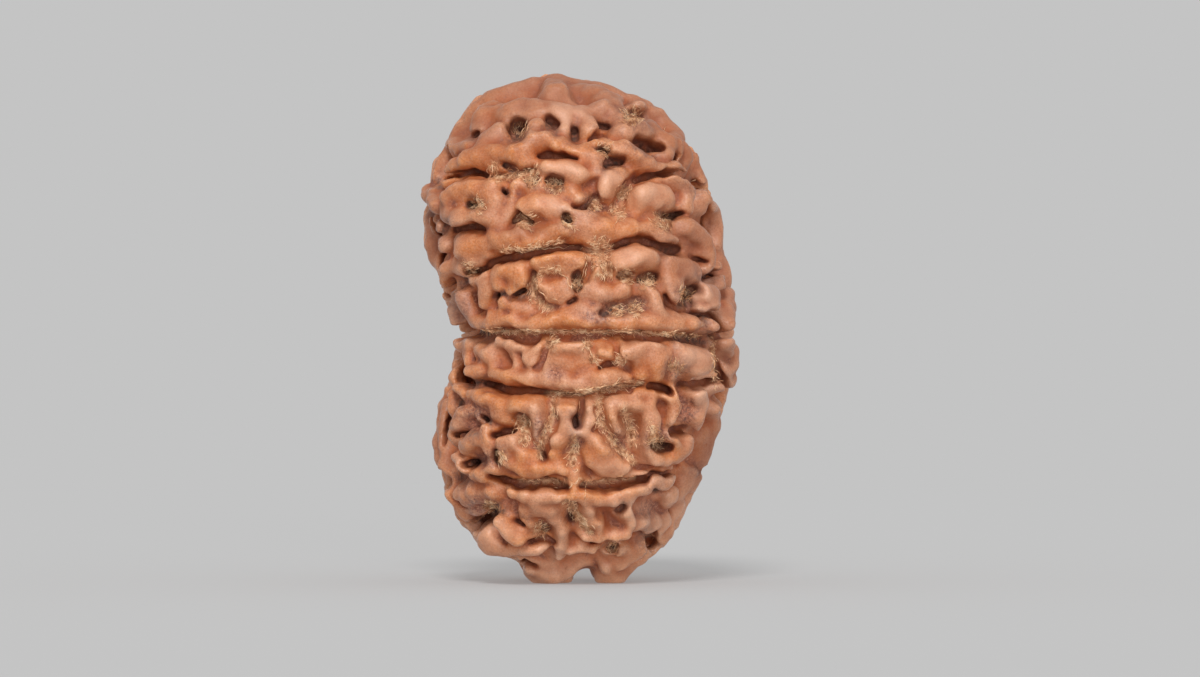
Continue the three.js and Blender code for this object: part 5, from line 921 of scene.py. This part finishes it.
def make_seed():
    """The seed's fine surface, with how hidden each place of it is."""
    grid = Grid()
    back_ridges, back_cuts = back_relief()
    grid.add(front_strokes(RIDGES, lambda radius, crest: crest + EXTRA_CREST - radius) + back_ridges)
    grid.cut(front_strokes(CUTS, lambda radius, depth: radius - depth + CUT_LIFT, CUT_LEAN) + back_cuts)
    grid.stand()
    corners, faces = largest_body(*surface_of(grid))
    seed = mesh_object("seed_fine", (corners + CENTRE) * MM, faces)
    thin_out(seed, MOST_TRIANGLES)
    places = at_corners(seed, "co") / MM - CENTRE
    solid = np.clip(0.5 - grid.field / CELL, 0, 1)
    for name, reach in (("near_hollow", 0.22), ("wide_hollow", 0.55)):
        set_values(seed, name, grid.read(grid.spread(solid, reach), places))
    return seed


# Where straw fibres stand out of the front: [x, z, reach, how many bunches]
FIBRE_SPOTS = [
    [3.05, 27.75, 0.5, 40], [1.25, 25.85, 0.3, 14], [-3.7, 27.0, 0.4, 16], [-3.0, 23.9, 0.35, 26],
    [-1.6, 23.7, 0.4, 34], [-6.35, 22.6, 0.35, 30], [-3.4, 21.6, 0.5, 26], [-0.9, 21.6, 0.3, 26],
    [0.7, 22.6, 0.3, 18], [2.4, 23.2, 0.4, 26], [2.1, 22.2, 0.4, 22], [4.9, 21.5, 0.6, 24],
    [3.9, 18.0, 0.4, 24], [-5.2, 24.9, 0.3, 12], [-6.5, 18.8, 0.4, 16], [0.9, 19.8, 0.7, 46],
    [1.4, 18.8, 0.5, 30], [-0.3, 17.9, 0.3, 30], [2.5, 18.3, 0.4, 24], [1.9, 16.2, 0.3, 18],
    [3.1, 16.4, 0.4, 24], [6.2, 17.2, 0.4, 24], [-1.9, 14.3, 0.3, 18], [0.3, 14.3, 0.3, 14],
    [0.6, 13.4, 0.3, 14], [2.4, 13.3, 0.3, 12], [5.6, 12.8, 0.4, 14], [-3.5, 9.6, 0.4, 26],
    [-4.8, 7.7, 0.3, 20], [-5.3, 4.5, 0.35, 22], [4.4, 8.4, 0.4, 30], [1.8, 2.1, 0.3, 12],
    [-2.5, 3.2, 0.35, 18],
]

# Lines that the fibres follow on the front: [how many bunches, reach, [[x, z], ...]]
FIBRE_LINES = [
    [70, 0.18, [[-5.4, 24.2], [-4.0, 24.35], [-2.6, 24.6]]],
    [60, 0.1, [[-4.9, 19.8], [-3.0, 20.0], [-1.0, 20.35]]],
    [260, 0.1, [[-6.0, 15.05], [-3.0, 15.0], [0.0, 15.02], [3.0, 15.0], [6.8, 14.7]]],
    [50, 0.2, [[-1.2, 18.7], [-2.2, 18.7], [-2.8, 18.1], [-2.9, 17.3], [-2.5, 16.7], [-1.9, 16.4]]],
    [26, 0.14, [[7.7, 14.6], [7.9, 13.0], [7.9, 11.8]]],
    [90, 0.16, [[-2.0, 11.35], [0.0, 11.4], [1.2, 11.6], [3.5, 12.0]]],
    [60, 0.2, [[-1.65, 11.0], [-1.75, 10.0], [-2.2, 8.9], [-2.6, 7.6]]],
    [60, 0.22, [[-0.4, 8.8], [-0.5, 8.0], [-0.6, 7.1]]],
    [90, 0.22, [[1.0, 11.3], [1.0, 9.8], [1.9, 8.4], [3.1, 7.3]]],
    [70, 0.25, [[-0.9, 4.9], [-0.4, 4.3], [0.4, 3.1]]],
    [24, 0.2, [[-3.5, 6.2], [-1.4, 6.1], [0.7, 6.1], [3.0, 6.4]]],
    [40, 0.3, [[2.55, 10.5], [2.7, 9.9], [2.9, 9.2], [3.0, 8.4]]],
    [30, 0.2, [[4.0, 9.6], [4.3, 9.0], [4.6, 8.6]]],
    [40, 0.25, [[-3.6, 9.9], [-3.4, 9.0], [-3.5, 8.5]]],
]

# Longer pale strands that lie across the relief: [[x, z], ...]
STRANDS = [
    [[0.35, 19.35], [0.3, 18.8], [0.1, 18.2]],
    [[0.3, 19.1], [0.05, 18.5], [-0.2, 17.9]],
    [[-0.05, 10.9], [-0.1, 10.5], [-0.25, 10.0]],
    [[-2.2, 8.9], [-2.35, 8.2], [-2.65, 7.6]],
    [[-2.9, 18.3], [-2.6, 17.5], [-2.0, 16.9], [-1.3, 16.8]],
    [[-1.5, 18.5], [-0.9, 18.2], [-0.6, 17.5]],
    [[0.3, 6.2], [0.1, 5.6], [0.2, 4.9]],
    [[1.5, 19.6], [1.3, 19.0], [1.5, 18.4]],
    [[-6.0, 15.08], [-2.0, 15.03], [2.0, 15.03], [6.4, 14.8]],
    [[-5.0, 15.0], [-1.0, 14.97], [3.0, 15.0], [5.4, 14.85]],
    [[-4.0, 19.6], [-2.5, 19.85], [-0.5, 20.1]],
    [[-1.8, 11.5], [0.0, 11.5], [1.4, 11.75], [3.2, 12.1]],
]

FIBRE_SIDES = 3
FIBRE_STEPS = 4
THINNEST_FIBRE = 0.012
THICKEST_FIBRE = 0.03
STRAND_RADIUS = 0.035
FIBRES_ELSEWHERE = 1400
FIBRE_SEED = 77

# Fibres in a bunch
SPOT_BUNCH = 4
LINE_BUNCH = 3


def along(path, share):
    """The place at a share of a path's length."""
    path = np.array(path, dtype=float)
    steps = np.linalg.norm(np.diff(path, axis=0), axis=1)
    walked = np.concatenate([[0], np.cumsum(steps)])
    return np.array([np.interp(share * walked[-1], walked, path[:, i]) for i in range(2)])


def sliver(centres, radius):
    """Corners and faces of a thin fibre along centres, pointed at both ends."""
    corners = []
    faces = []
    count = len(centres)
    for i, centre in enumerate(centres):
        run = centres[min(i + 1, count - 1)] - centres[max(i - 1, 0)]
        run = run / max(np.linalg.norm(run), 1e-9)
        side = np.cross(run, [0.31, 0.83, 0.46])
        side = side / np.linalg.norm(side)
        up = np.cross(run, side)
        wide = radius * (0.25 + 0.75 * math.sin(math.pi * (i + 0.5) / count))
        for k in range(FIBRE_SIDES):
            turn = 2 * math.pi * k / FIBRE_SIDES
            corners.append(centre + wide * (math.cos(turn) * side + 0.6 * math.sin(turn) * up))
    for i in range(count - 1):
        for k in range(FIBRE_SIDES):
            a = i * FIBRE_SIDES + k
            b = i * FIBRE_SIDES + (k + 1) % FIBRE_SIDES
            faces.append([a, b, b + FIBRE_SIDES])
            faces.append([a, b + FIBRE_SIDES, a + FIBRE_SIDES])
    last = (count - 1) * FIBRE_SIDES
    faces.append([2, 1, 0])
    faces.append([last, last + 1, last + 2])
    return corners, faces


class Fibres:
    """Gathers slivers that grow from the seed's surface."""

    def __init__(self, seed):
        self.places = at_corners(seed, "co") / MM - CENTRE
        self.normals = at_corners(seed, "normal")
        self.front = np.flatnonzero(self.places[:, 1] < 1)
        self.seen_x = self.places[self.front, 0]
        self.seen_z = self.places[self.front, 2] + self.places[self.front, 1] * SIGHT_SLOPE
        self.draws = np.random.default_rng(FIBRE_SEED)
        self.corners = []
        self.faces = []

    def front_root(self, x, z):
        """The corner of the surface that is seen nearest to x, z from the front."""
        near = (self.seen_x - x) ** 2 + (self.seen_z - z) ** 2
        close = self.front[near < 0.13**2]
        if not len(close):
            return int(self.front[near.argmin()])
        return int(close[self.places[close, 1].argmin()])

    def lay(self, centres, radius):
        corners, faces = sliver(np.array(centres), radius)
        start = len(self.corners)
        self.corners += corners
        self.faces += [[f + start for f in face] for face in faces]

    def grow(self, root, length, lift, heading):
        """One curled fibre from a corner of the surface, lying along it more or less in a heading."""
        normal = self.normals[root]
        lean = heading + self.draws.normal(size=3) * 0.6
        lean -= normal * (lean @ normal)
        lean /= max(np.linalg.norm(lean), 1e-6)
        bend = np.cross(normal, lean) * self.draws.uniform(-0.5, 0.5)
        curl = self.draws.uniform(0.5, 1.3) * math.pi
        start = self.places[root] + normal * self.draws.uniform(-0.04, 0.08)
        centres = []
        for share in np.linspace(0, 1, FIBRE_STEPS + 1):
            rise = lift * math.sin(math.pi * 0.8 * share)
            offset = lean * share + bend * math.sin(curl * share) + normal * rise
            centres.append(start + length * offset)
        self.lay(centres, self.draws.uniform(THINNEST_FIBRE, THICKEST_FIBRE))

    def grow_some(self, root, lengths, lift, heading):
        self.grow(root, self.draws.uniform(*lengths), self.draws.uniform(0.0, lift), heading)

    def spot(self, x, z, reach, count):
        """Fibres round a place of the front, all leaning more or less one way."""
        heading = self.draws.normal(size=3)
        for _ in range(count * SPOT_BUNCH):
            turn = self.draws.uniform(0, 2 * math.pi)
            away = reach * math.sqrt(self.draws.uniform())
            root = self.front_root(x + away * math.cos(turn), z + away * math.sin(turn))
            self.grow_some(root, [0.15, 0.6], 0.25, heading)

    def line(self, count, reach, path):
        """Fibres along a line of the front."""
        heading = np.array([path[-1][0] - path[0][0], 0, path[-1][1] - path[0][1]])
        heading /= np.linalg.norm(heading)
        for _ in range(count * LINE_BUNCH):
            x, z = along(path, self.draws.uniform()) + self.draws.normal(size=2) * reach / 2
            self.grow_some(self.front_root(x, z), [0.15, 0.5], 0.2, heading)

    def strand(self, path):
        """One long fibre that lies along a line of the front."""
        length = sum(math.dist(a, b) for a, b in zip(path, path[1:]))
        centres = []
        for share in np.linspace(0, 1, 4 + round(length * 2.5)):
            root = self.front_root(*along(path, share))
            centres.append(self.places[root] + self.normals[root] * self.draws.uniform(0.03, 0.09))
        self.lay(centres, STRAND_RADIUS)

    def elsewhere(self, hidden):
        """Fibres in the hollows of the back, the top and the poles."""
        roots = np.flatnonzero((hidden > 0.62) & (self.places[:, 1] > -1.5) & (self.places[:, 2] > 1.5))
        for root in self.draws.choice(roots, FIBRES_ELSEWHERE):
            self.grow_some(int(root), [0.2, 0.7], 0.4, np.array([1, 0, 0]))


# Where the shell is a clearer orange: [x, z, reach across, reach up]
ORANGE_SPOTS = [
    [-5.6, 25.5, 2.6, 0.9], [-7.2, 23.2, 1.2, 0.9], [-2.8, 20.3, 3.2, 0.8], [-6.6, 20.0, 1.0, 0.7],
    [-4.3, 18.2, 0.9, 0.9], [1.5, 15.5, 5.0, 0.5], [-4.2, 11.3, 2.2, 0.9], [-0.9, 10.55, 0.6, 0.4],
    [-2.6, 7.2, 1.6, 0.9], [-3.9, 3.0, 0.9, 0.8], [5.4, 7.8, 1.2, 0.7], [-1.9, 23.2, 1.8, 0.9],
    [1.6, 21.2, 1.6, 0.6], [-0.5, 9.2, 0.9, 0.7], [1.4, 7.3, 1.3, 0.6], [4.2, 12.3, 1.4, 0.5],
    [0.0, 26.2, 1.5, 0.7], [1.2, 5.4, 3.0, 0.4],
]

# Where purple-brown dust lies: [x, z, reach across, reach up]
PURPLE_SPOTS = [
    [5.6, 12.8, 0.7, 0.7], [-6.3, 10.1, 0.7, 0.6], [-6.5, 9.4, 0.5, 0.5], [6.4, 10.5, 0.6, 0.6],
    [6.3, 9.9, 0.5, 0.5], [-1.6, 12.6, 0.5, 0.4], [0.9, 15.9, 0.8, 0.4], [-6.2, 4.6, 0.8, 0.6],
    [4.6, 8.6, 0.7, 0.5], [-7.3, 16.4, 0.7, 0.8], [0.6, 22.6, 0.5, 0.7], [-0.4, 8.9, 0.4, 0.8],
    [2.1, 8.5, 0.5, 0.8], [1.9, 16.4, 0.9, 0.45], [3.2, 16.7, 0.6, 0.4], [6.2, 17.2, 0.5, 0.6],
    [-2.5, 9.2, 0.4, 0.8], [4.0, 4.4, 0.7, 0.5], [-5.5, 7.4, 0.6, 0.5],
]

# Where shade is painted on as a duller brown, over the upward-facing cap, the turned-away sides and the top
# of the orange ridge: [x, z, reach across, reach up]
SHADE_SPOTS = [
    [-1.5, 29.8, 7.0, 2.4], [6.2, 26.0, 2.2, 2.6], [-9.2, 21.0, 1.2, 3.0], [8.6, 18.0, 1.4, 5.0],
    [-7.6, 16.4, 1.2, 1.2], [6.5, 20.0, 2.0, 2.5], [-8.8, 9.0, 1.0, 3.5], [7.6, 7.5, 1.2, 2.5],
    [-6.6, 27.2, 2.0, 1.8], [4.4, 27.6, 1.4, 1.0], [8.3, 13.0, 0.8, 4.0], [-3.4, 21.0, 1.8, 0.5],
]

# Where the shell is paler, partly its own lighter tone and partly painted light on the down-facing foot and
# lower front: [x, z, reach across, reach up]
PALE_AND_LIT_SPOTS = [
    [4.3, 23.2, 1.3, 0.8], [3.1, 19.5, 1.3, 0.6], [-1.2, 24.7, 1.4, 0.5], [-0.8, 28.0, 1.2, 1.2],
    [6.6, 13.5, 1.0, 0.7], [-1.7, 22.7, 1.4, 0.5], [-5.0, 2.9, 1.4, 0.8], [1.6, 24.1, 0.8, 0.6],
    [-0.2, 9.1, 1.0, 0.7], [1.8, 6.9, 2.0, 0.6], [0.4, 0.8, 5.5, 1.3], [4.0, 4.2, 2.8, 1.6],
    [-7.9, 16.0, 0.8, 1.2], [6.9, 17.0, 1.0, 0.9], [7.3, 11.5, 0.8, 1.6],
]

# Cuts with one of these words in their name are crusted dark inside, which also paints the shade in them
DARK_WORDS = ("pit", "hole", "mouth", "pocket", "gap")


def seen_places(seed):
    """Where each corner of the surface is seen from the front, x and z, and how far it faces there."""
    places = at_corners(seed, "co") / MM - CENTRE
    facing = np.clip(0.7 - at_corners(seed, "normal")[:, 1] * 1.5, 0, 1) * (places[:, 1] < 0)
    return places[:, 0], places[:, 2] + places[:, 1] * SIGHT_SLOPE, facing


def spotted(seed, spots):
    """1 at the middles of the spots, fading to 0 round them."""
    x, z, facing = seen_places(seed)
    total = np.zeros(len(x))
    for middle_x, middle_z, across, up in spots:
        away = ((x - middle_x) / across) ** 2 + ((z - middle_z) / up) ** 2
        total = np.maximum(total, np.exp(-away))
    return total * facing


def lined(seed, lines):
    """1 on the lines, fading to 0 beside them within their reach."""
    x, z, facing = seen_places(seed)
    total = np.zeros(len(x))
    for _, reach, path in lines:
        for (x0, z0, *_), (x1, z1, *_) in zip(path, path[1:]):
            run_x, run_z = x1 - x0, z1 - z0
            share = np.clip(((x - x0) * run_x + (z - z0) * run_z) / (run_x**2 + run_z**2), 0, 1)
            away = np.hypot(x - x0 - run_x * share, z - z0 - run_z * share)
            total = np.maximum(total, np.exp(-((away / reach) ** 2)))
    return total * facing


def mark(seed):
    """Gives the surface its tints, which hold painted shade on the cap and sides and painted light on the
    foot, the pits crusted dark with painted shade, the rims of its pits, and its straw dust.
    """
    tints = {"orange": ORANGE_SPOTS, "purple": PURPLE_SPOTS, "painted_shade": SHADE_SPOTS, "pale": PALE_AND_LIT_SPOTS}
    for name, spots in tints.items():
        set_values(seed, name, spotted(seed, spots))
    dark = [row for row in CUTS if any(word in row[0] for word in DARK_WORDS)]
    set_values(seed, "pit", lined(seed, [[0, radius * 1.2, path] for _, radius, _, path in dark]))
    set_values(seed, "rim", lined(seed, [[0, 0.3 + radius * 1.6, path] for _, radius, _, path in dark]))
    straw = spotted(seed, [[x, z, reach, reach] for x, z, reach, _ in FIBRE_SPOTS])
    set_values(seed, "straw", np.maximum(straw, lined(seed, FIBRE_LINES)))


def make_fibres(seed):
    """All the straw fibres as one mesh."""
    hidden = np.empty(len(seed.data.vertices), dtype=np.float32)
    seed.data.attributes["near_hollow"].data.foreach_get("value", hidden)
    fibres = Fibres(seed)
    for x, z, reach, count in FIBRE_SPOTS:
        fibres.spot(x, z, reach, count)
    for count, reach, path in FIBRE_LINES:
        fibres.line(count, reach, path)
    for path in STRANDS:
        fibres.strand(path)
    fibres.elsewhere(hidden)
    corners = (np.array(fibres.corners) + CENTRE) * MM
    return mesh_object("straw_fibres", corners, np.array(fibres.faces))


def colour(red, green, blue):
    """A colour as the shader wants it, from its 0 to 255 values on the screen."""
    parts = [value / 255 for value in (red, green, blue)]
    return (*[p / 12.92 if p <= 0.04045 else ((p + 0.055) / 1.055) ** 2.4 for p in parts], 1)


class Shader:
    """A short way to build a material's nodes."""

    def __init__(self, name):
        self.material = bpy.data.materials.new(name)
        self.material.use_nodes = True
        self.tree = self.material.node_tree
        self.bsdf = self.tree.nodes["Principled BSDF"]

    def node(self, kind, **settings):
        made = self.tree.nodes.new("ShaderNode" + kind)
        for key, value in settings.items():
            setattr(made, key, value)
        return made

    def link(self, source, target):
        self.tree.links.new(source, target)

    def value(self, name):
        """A value that the mesh carries at each corner."""
        return self.node("Attribute", attribute_name=name).outputs["Fac"]

    def noise(self, scale, detail, roughness=0.55):
        """Noise with about this many lumps to a millimetre."""
        made = self.node("TexNoise")
        made.inputs["Scale"].default_value = scale / MM
        made.inputs["Detail"].default_value = detail
        made.inputs["Roughness"].default_value = roughness
        self.link(self.node("TexCoord").outputs["Object"], made.inputs["Vector"])
        return made.outputs["Fac"]

    def ramp(self, source, stops):
        """A value, or a colour, that follows the source by stops of a place and a tone."""
        made = self.node("ValToRGB")
        points = made.color_ramp.elements
        while len(points) < len(stops):
            points.new(0.5)
        for point, (place, tone) in zip(points, stops):
            point.position = place
            point.color = tone if isinstance(tone, tuple) else (tone, tone, tone, 1)
        self.link(source, made.inputs["Fac"])
        return made.outputs["Color"]

    def sum(self, first, second, share=1.0):
        """first + second * share."""
        made = self.node("Math", operation="MULTIPLY_ADD")
        self.link(second, made.inputs[0])
        made.inputs[1].default_value = share
        self.link(first, made.inputs[2])
        return made.outputs[0]

    def tint(self, tone, red, green, blue, *shares):
        """The tone with a colour laid over it, by the product of one or more shares."""
        share = shares[0]
        for other in shares[1:]:
            share = self.product(share, other)
        return self.mix(share, tone, colour(red, green, blue))

    def mix(self, share, first, second):
        made = self.node("Mix", data_type="RGBA")
        for source, name in ((share, "Factor"), (first, "A"), (second, "B")):
            socket = next(s for s in made.inputs if s.name == name and s.enabled)
            if isinstance(source, (tuple, float)):
                socket.default_value = source
            else:
                self.link(source, socket)
        return next(s for s in made.outputs if s.enabled)

    def product(self, first, second):
        made = self.node("Math", operation="MULTIPLY")
        self.link(first, made.inputs[0])
        self.link(second, made.inputs[1])
        return made.outputs[0]


def tones(*stops):
    """Stops of a colour ramp: each a place and the red, green and blue there."""
    return [(place, colour(*parts)) for place, *parts in stops]


def seed_material():
    """Pinkish tan tops, orange on the low ridges and purple dust in the folds, with painted shade darkening
    the hollows, the cap and the sides, near-black pits that are partly painted shade, and painted light on
    the foot.
    """
    shader = Shader("seed_shell")
    ramp, noise, value, total = shader.ramp, shader.noise, shader.value, shader.sum
    near = value("near_hollow")
    patches = noise(0.22, 3)
    mottle = noise(1.1, 5)
    grain = noise(7.0, 4, 0.7)
    crumb = noise(5.5, 4, 0.8)
    # hidden rises towards the hollows: the pink and orange ramps below darken the tone along it, which
    # paints the shade that falls there
    hidden = total(near, total(mottle, patches, 0.4), 0.12)
    pink = ramp(hidden, tones((0.36, 216, 156, 120), (0.46, 202, 136, 98), (0.60, 184, 114, 76),
                              (0.74, 158, 90, 58), (0.90, 120, 66, 42)))
    orange = ramp(hidden, tones((0.36, 218, 142, 86), (0.46, 204, 122, 64), (0.60, 184, 98, 44),
                                (0.74, 158, 76, 32), (0.90, 120, 54, 26)))
    low = ramp(value("wide_hollow"), [(0.44, 0.0), (0.58, 0.6)])
    warm = total(total(value("orange"), low), ramp(patches, [(0.38, 0.0), (0.60, 0.75)]))
    tone = shader.mix(ramp(warm, [(0.25, 0.0), (1.0, 1.0)]), pink, orange)

    folds = shader.product(ramp(near, [(0.50, 0.0), (0.60, 1.0), (0.72, 0.8), (0.85, 0.2)]),
                           ramp(noise(0.9, 4), [(0.48, 0.0), (0.60, 0.8)]))
    purple = ramp(total(folds, value("purple"), 1.4), [(0.0, 0.0), (1.0, 1.0)])
    tone = shader.tint(tone, 138, 86, 76, purple, ramp(mottle, [(0.3, 0.2), (0.7, 0.7)]))
    tone = shader.tint(tone, 90, 50, 46, purple, ramp(crumb, [(0.50, 0.0), (0.58, 0.9)]))
    tone = shader.tint(tone, 214, 164, 134, purple, ramp(crumb, [(0.38, 0.7), (0.45, 0.0)]))
    worn = ramp(noise(2.4, 6, 0.75), [(0.44, 0.0), (0.56, 0.6)])
    tone = shader.tint(tone, 124, 76, 64, value("rim"), worn)
    tone = shader.tint(tone, 136, 82, 56, ramp(noise(9, 3, 0.7), [(0.48, 0.0), (0.66, 0.45)]))
    dust = ramp(noise(4.0, 5, 0.7), [(0.40, 0.1), (0.56, 0.9)])
    tone = shader.tint(tone, 236, 190, 146, value("straw"), dust, ramp(near, [(0.44, 0.3), (0.54, 1.0)]))
    # Pits crusted near-black inside; this also paints the shade that falls in them
    crust_and_shade = ramp(noise(3.2, 5, 0.7), [(0.40, 0.15), (0.56, 1.0)])
    tone = shader.tint(tone, 52, 26, 18, value("pit"), crust_and_shade, ramp(near, [(0.36, 0.0), (0.46, 1.0)]))
    fleck = ramp(grain, [(0.42, 0.0), (0.68, 1.0)])
    tone = shader.tint(tone, 238, 192, 160, fleck, ramp(near, [(0.36, 0.32), (0.6, 0.08)]))
    # Painted shade: a duller brown over the cap, the sides and the top of the orange ridge
    tone = shader.tint(tone, 140, 84, 62, ramp(value("painted_shade"), [(0.0, 0.0), (1.0, 0.55)]))
    # Paler spots: partly the shell's own lighter tone, partly painted light that lifts the down-facing foot
    # and the lower front
    tone = shader.tint(tone, 240, 190, 160, value("pale"), ramp(hidden, [(0.45, 0.42), (0.72, 0.05)]))
    shader.link(tone, shader.bsdf.inputs["Base Color"])

    gloss = ramp(total(near, mottle, 0.25), [(0.45, 0.23), (0.56, 0.42), (0.74, 0.75)])
    shader.link(gloss, shader.bsdf.inputs["Roughness"])
    fine = shader.node("Bump")
    fine.inputs["Strength"].default_value = 0.7
    fine.inputs["Distance"].default_value = 0.05 * MM
    shader.link(total(grain, noise(2.2, 5), 1.3), fine.inputs["Height"])
    shader.link(fine.outputs["Normal"], shader.bsdf.inputs["Normal"])
    return shader.material


def straw_material():
    """Pale straw, browner here and there."""
    shader = Shader("straw")
    stops = tones((0.36, 166, 104, 66), (0.47, 226, 168, 122), (0.60, 252, 214, 172))
    tone = shader.ramp(shader.noise(2.5, 3), stops)
    shader.link(tone, shader.bsdf.inputs["Base Color"])
    shader.bsdf.inputs["Roughness"].default_value = 0.7
    return shader.material


# The photograph: its size in pixels, the pixel below which x is 0, and the pixel row of the floor
PHOTO_WIDTH = 1200
PHOTO_HEIGHT = 677
PHOTO_ORIGIN_COLUMN = 582
PHOTO_FLOOR_ROW = 582
MM_PER_PIXEL = 0.06
CAMERA_DISTANCE = 900


def make_camera():
    """A long lens, nearly level, with the seed where the photograph has it."""
    camera = bpy.data.cameras.new("camera")
    camera.sensor_width = 36
    camera.lens = camera.sensor_width * CAMERA_DISTANCE / (PHOTO_WIDTH * MM_PER_PIXEL)
    camera.clip_start = 0.01
    camera.clip_end = 10
    aim_x = (PHOTO_WIDTH / 2 - PHOTO_ORIGIN_COLUMN) * MM_PER_PIXEL + CENTRE[0]
    aim_z = (PHOTO_FLOOR_ROW - PHOTO_HEIGHT / 2) * MM_PER_PIXEL
    stand = bpy.data.objects.new("camera", camera)
    bpy.context.scene.collection.objects.link(stand)
    aim = Vector((aim_x, 0, aim_z)) * MM
    stand.location = aim + Vector((0, -1, SIGHT_SLOPE)).normalized() * CAMERA_DISTANCE * MM
    stand.rotation_mode = "QUATERNION"
    stand.rotation_quaternion = (aim - stand.location).to_track_quat("-Z", "Y")
    bpy.context.scene.camera = stand


# The floor has this share of the backdrop's glow up to the near distance, and all of it from the far one
BACKDROP = colour(196, 196, 196)
FLOOR_NEAR = 60
FLOOR_FAR = 160
FLOOR_GLOW = 0.4

# Far soft lights: [name, strength, height, turn from the front to the right, width], angles in degrees
LIGHTS = [
    ["key", 1.75, 42, -4, 15],
    ["fill", 1.2, 2, 10, 16],
]


def floor_tone():
    """The grey with which the lit floor is as bright as the backdrop."""
    suns = sum(strength * math.sin(math.radians(height)) for _, strength, height, _, _ in LIGHTS)
    grey = BACKDROP[0] / (BACKDROP[0] + suns / math.pi)
    return (grey, grey, grey, 1)


def make_floor():
    """A pale floor that takes the seed's soft shadow and runs into the backdrop's own grey."""
    bpy.ops.mesh.primitive_circle_add(vertices=96, radius=4, fill_type="NGON")
    floor = bpy.context.object
    floor.name = "floor"
    shader = Shader("floor")
    shader.bsdf.inputs["Roughness"].default_value = 1
    shader.bsdf.inputs["Specular IOR Level"].default_value = 0
    shader.bsdf.inputs["Base Color"].default_value = floor_tone()
    glow = shader.node("Emission")
    glow.inputs["Color"].default_value = BACKDROP
    away = shader.node("VectorMath", operation="LENGTH")
    shader.link(shader.node("TexCoord").outputs["Object"], away.inputs[0])
    span = shader.node("MapRange", interpolation_type="SMOOTHSTEP")
    span.inputs["From Min"].default_value = FLOOR_NEAR * MM
    span.inputs["From Max"].default_value = FLOOR_FAR * MM
    span.inputs["To Min"].default_value = FLOOR_GLOW
    shader.link(away.outputs["Value"], span.inputs["Value"])
    both = shader.node("MixShader")
    shader.link(span.outputs["Result"], both.inputs["Fac"])
    shader.link(shader.bsdf.outputs["BSDF"], both.inputs[1])
    shader.link(glow.outputs["Emission"], both.inputs[2])
    shader.link(both.outputs["Shader"], shader.tree.nodes["Material Output"].inputs["Surface"])
    floor.data.materials.append(shader.material)


def make_light(name, strength, height, turn, width):
    light = bpy.data.lights.new(name, "SUN")
    light.energy = strength
    light.angle = math.radians(width)
    stand = bpy.data.objects.new(name, light)
    bpy.context.scene.collection.objects.link(stand)
    height, turn = math.radians(height), math.radians(turn)
    level = math.cos(height)
    away = Vector((level * math.sin(turn), -level * math.cos(turn), math.sin(height)))
    stand.location = away * 0.3
    stand.rotation_mode = "QUATERNION"
    stand.rotation_quaternion = (-away).to_track_quat("-Z", "Y")


def make_lights():
    for light in LIGHTS:
        make_light(*light)
    world = bpy.data.worlds.new("studio")
    world.use_nodes = True
    world.node_tree.nodes["Background"].inputs["Color"].default_value = BACKDROP
    bpy.context.scene.world = world
    bpy.context.scene.view_settings.view_transform = "Standard"


seed = make_seed()
mark(seed)
seed.data.materials.append(seed_material())
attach(seed, "root")
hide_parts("seed")

fibres = make_fibres(seed)
fibres.data.materials.append(straw_material())
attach(fibres, "root")

make_floor()
make_lights()
make_camera()
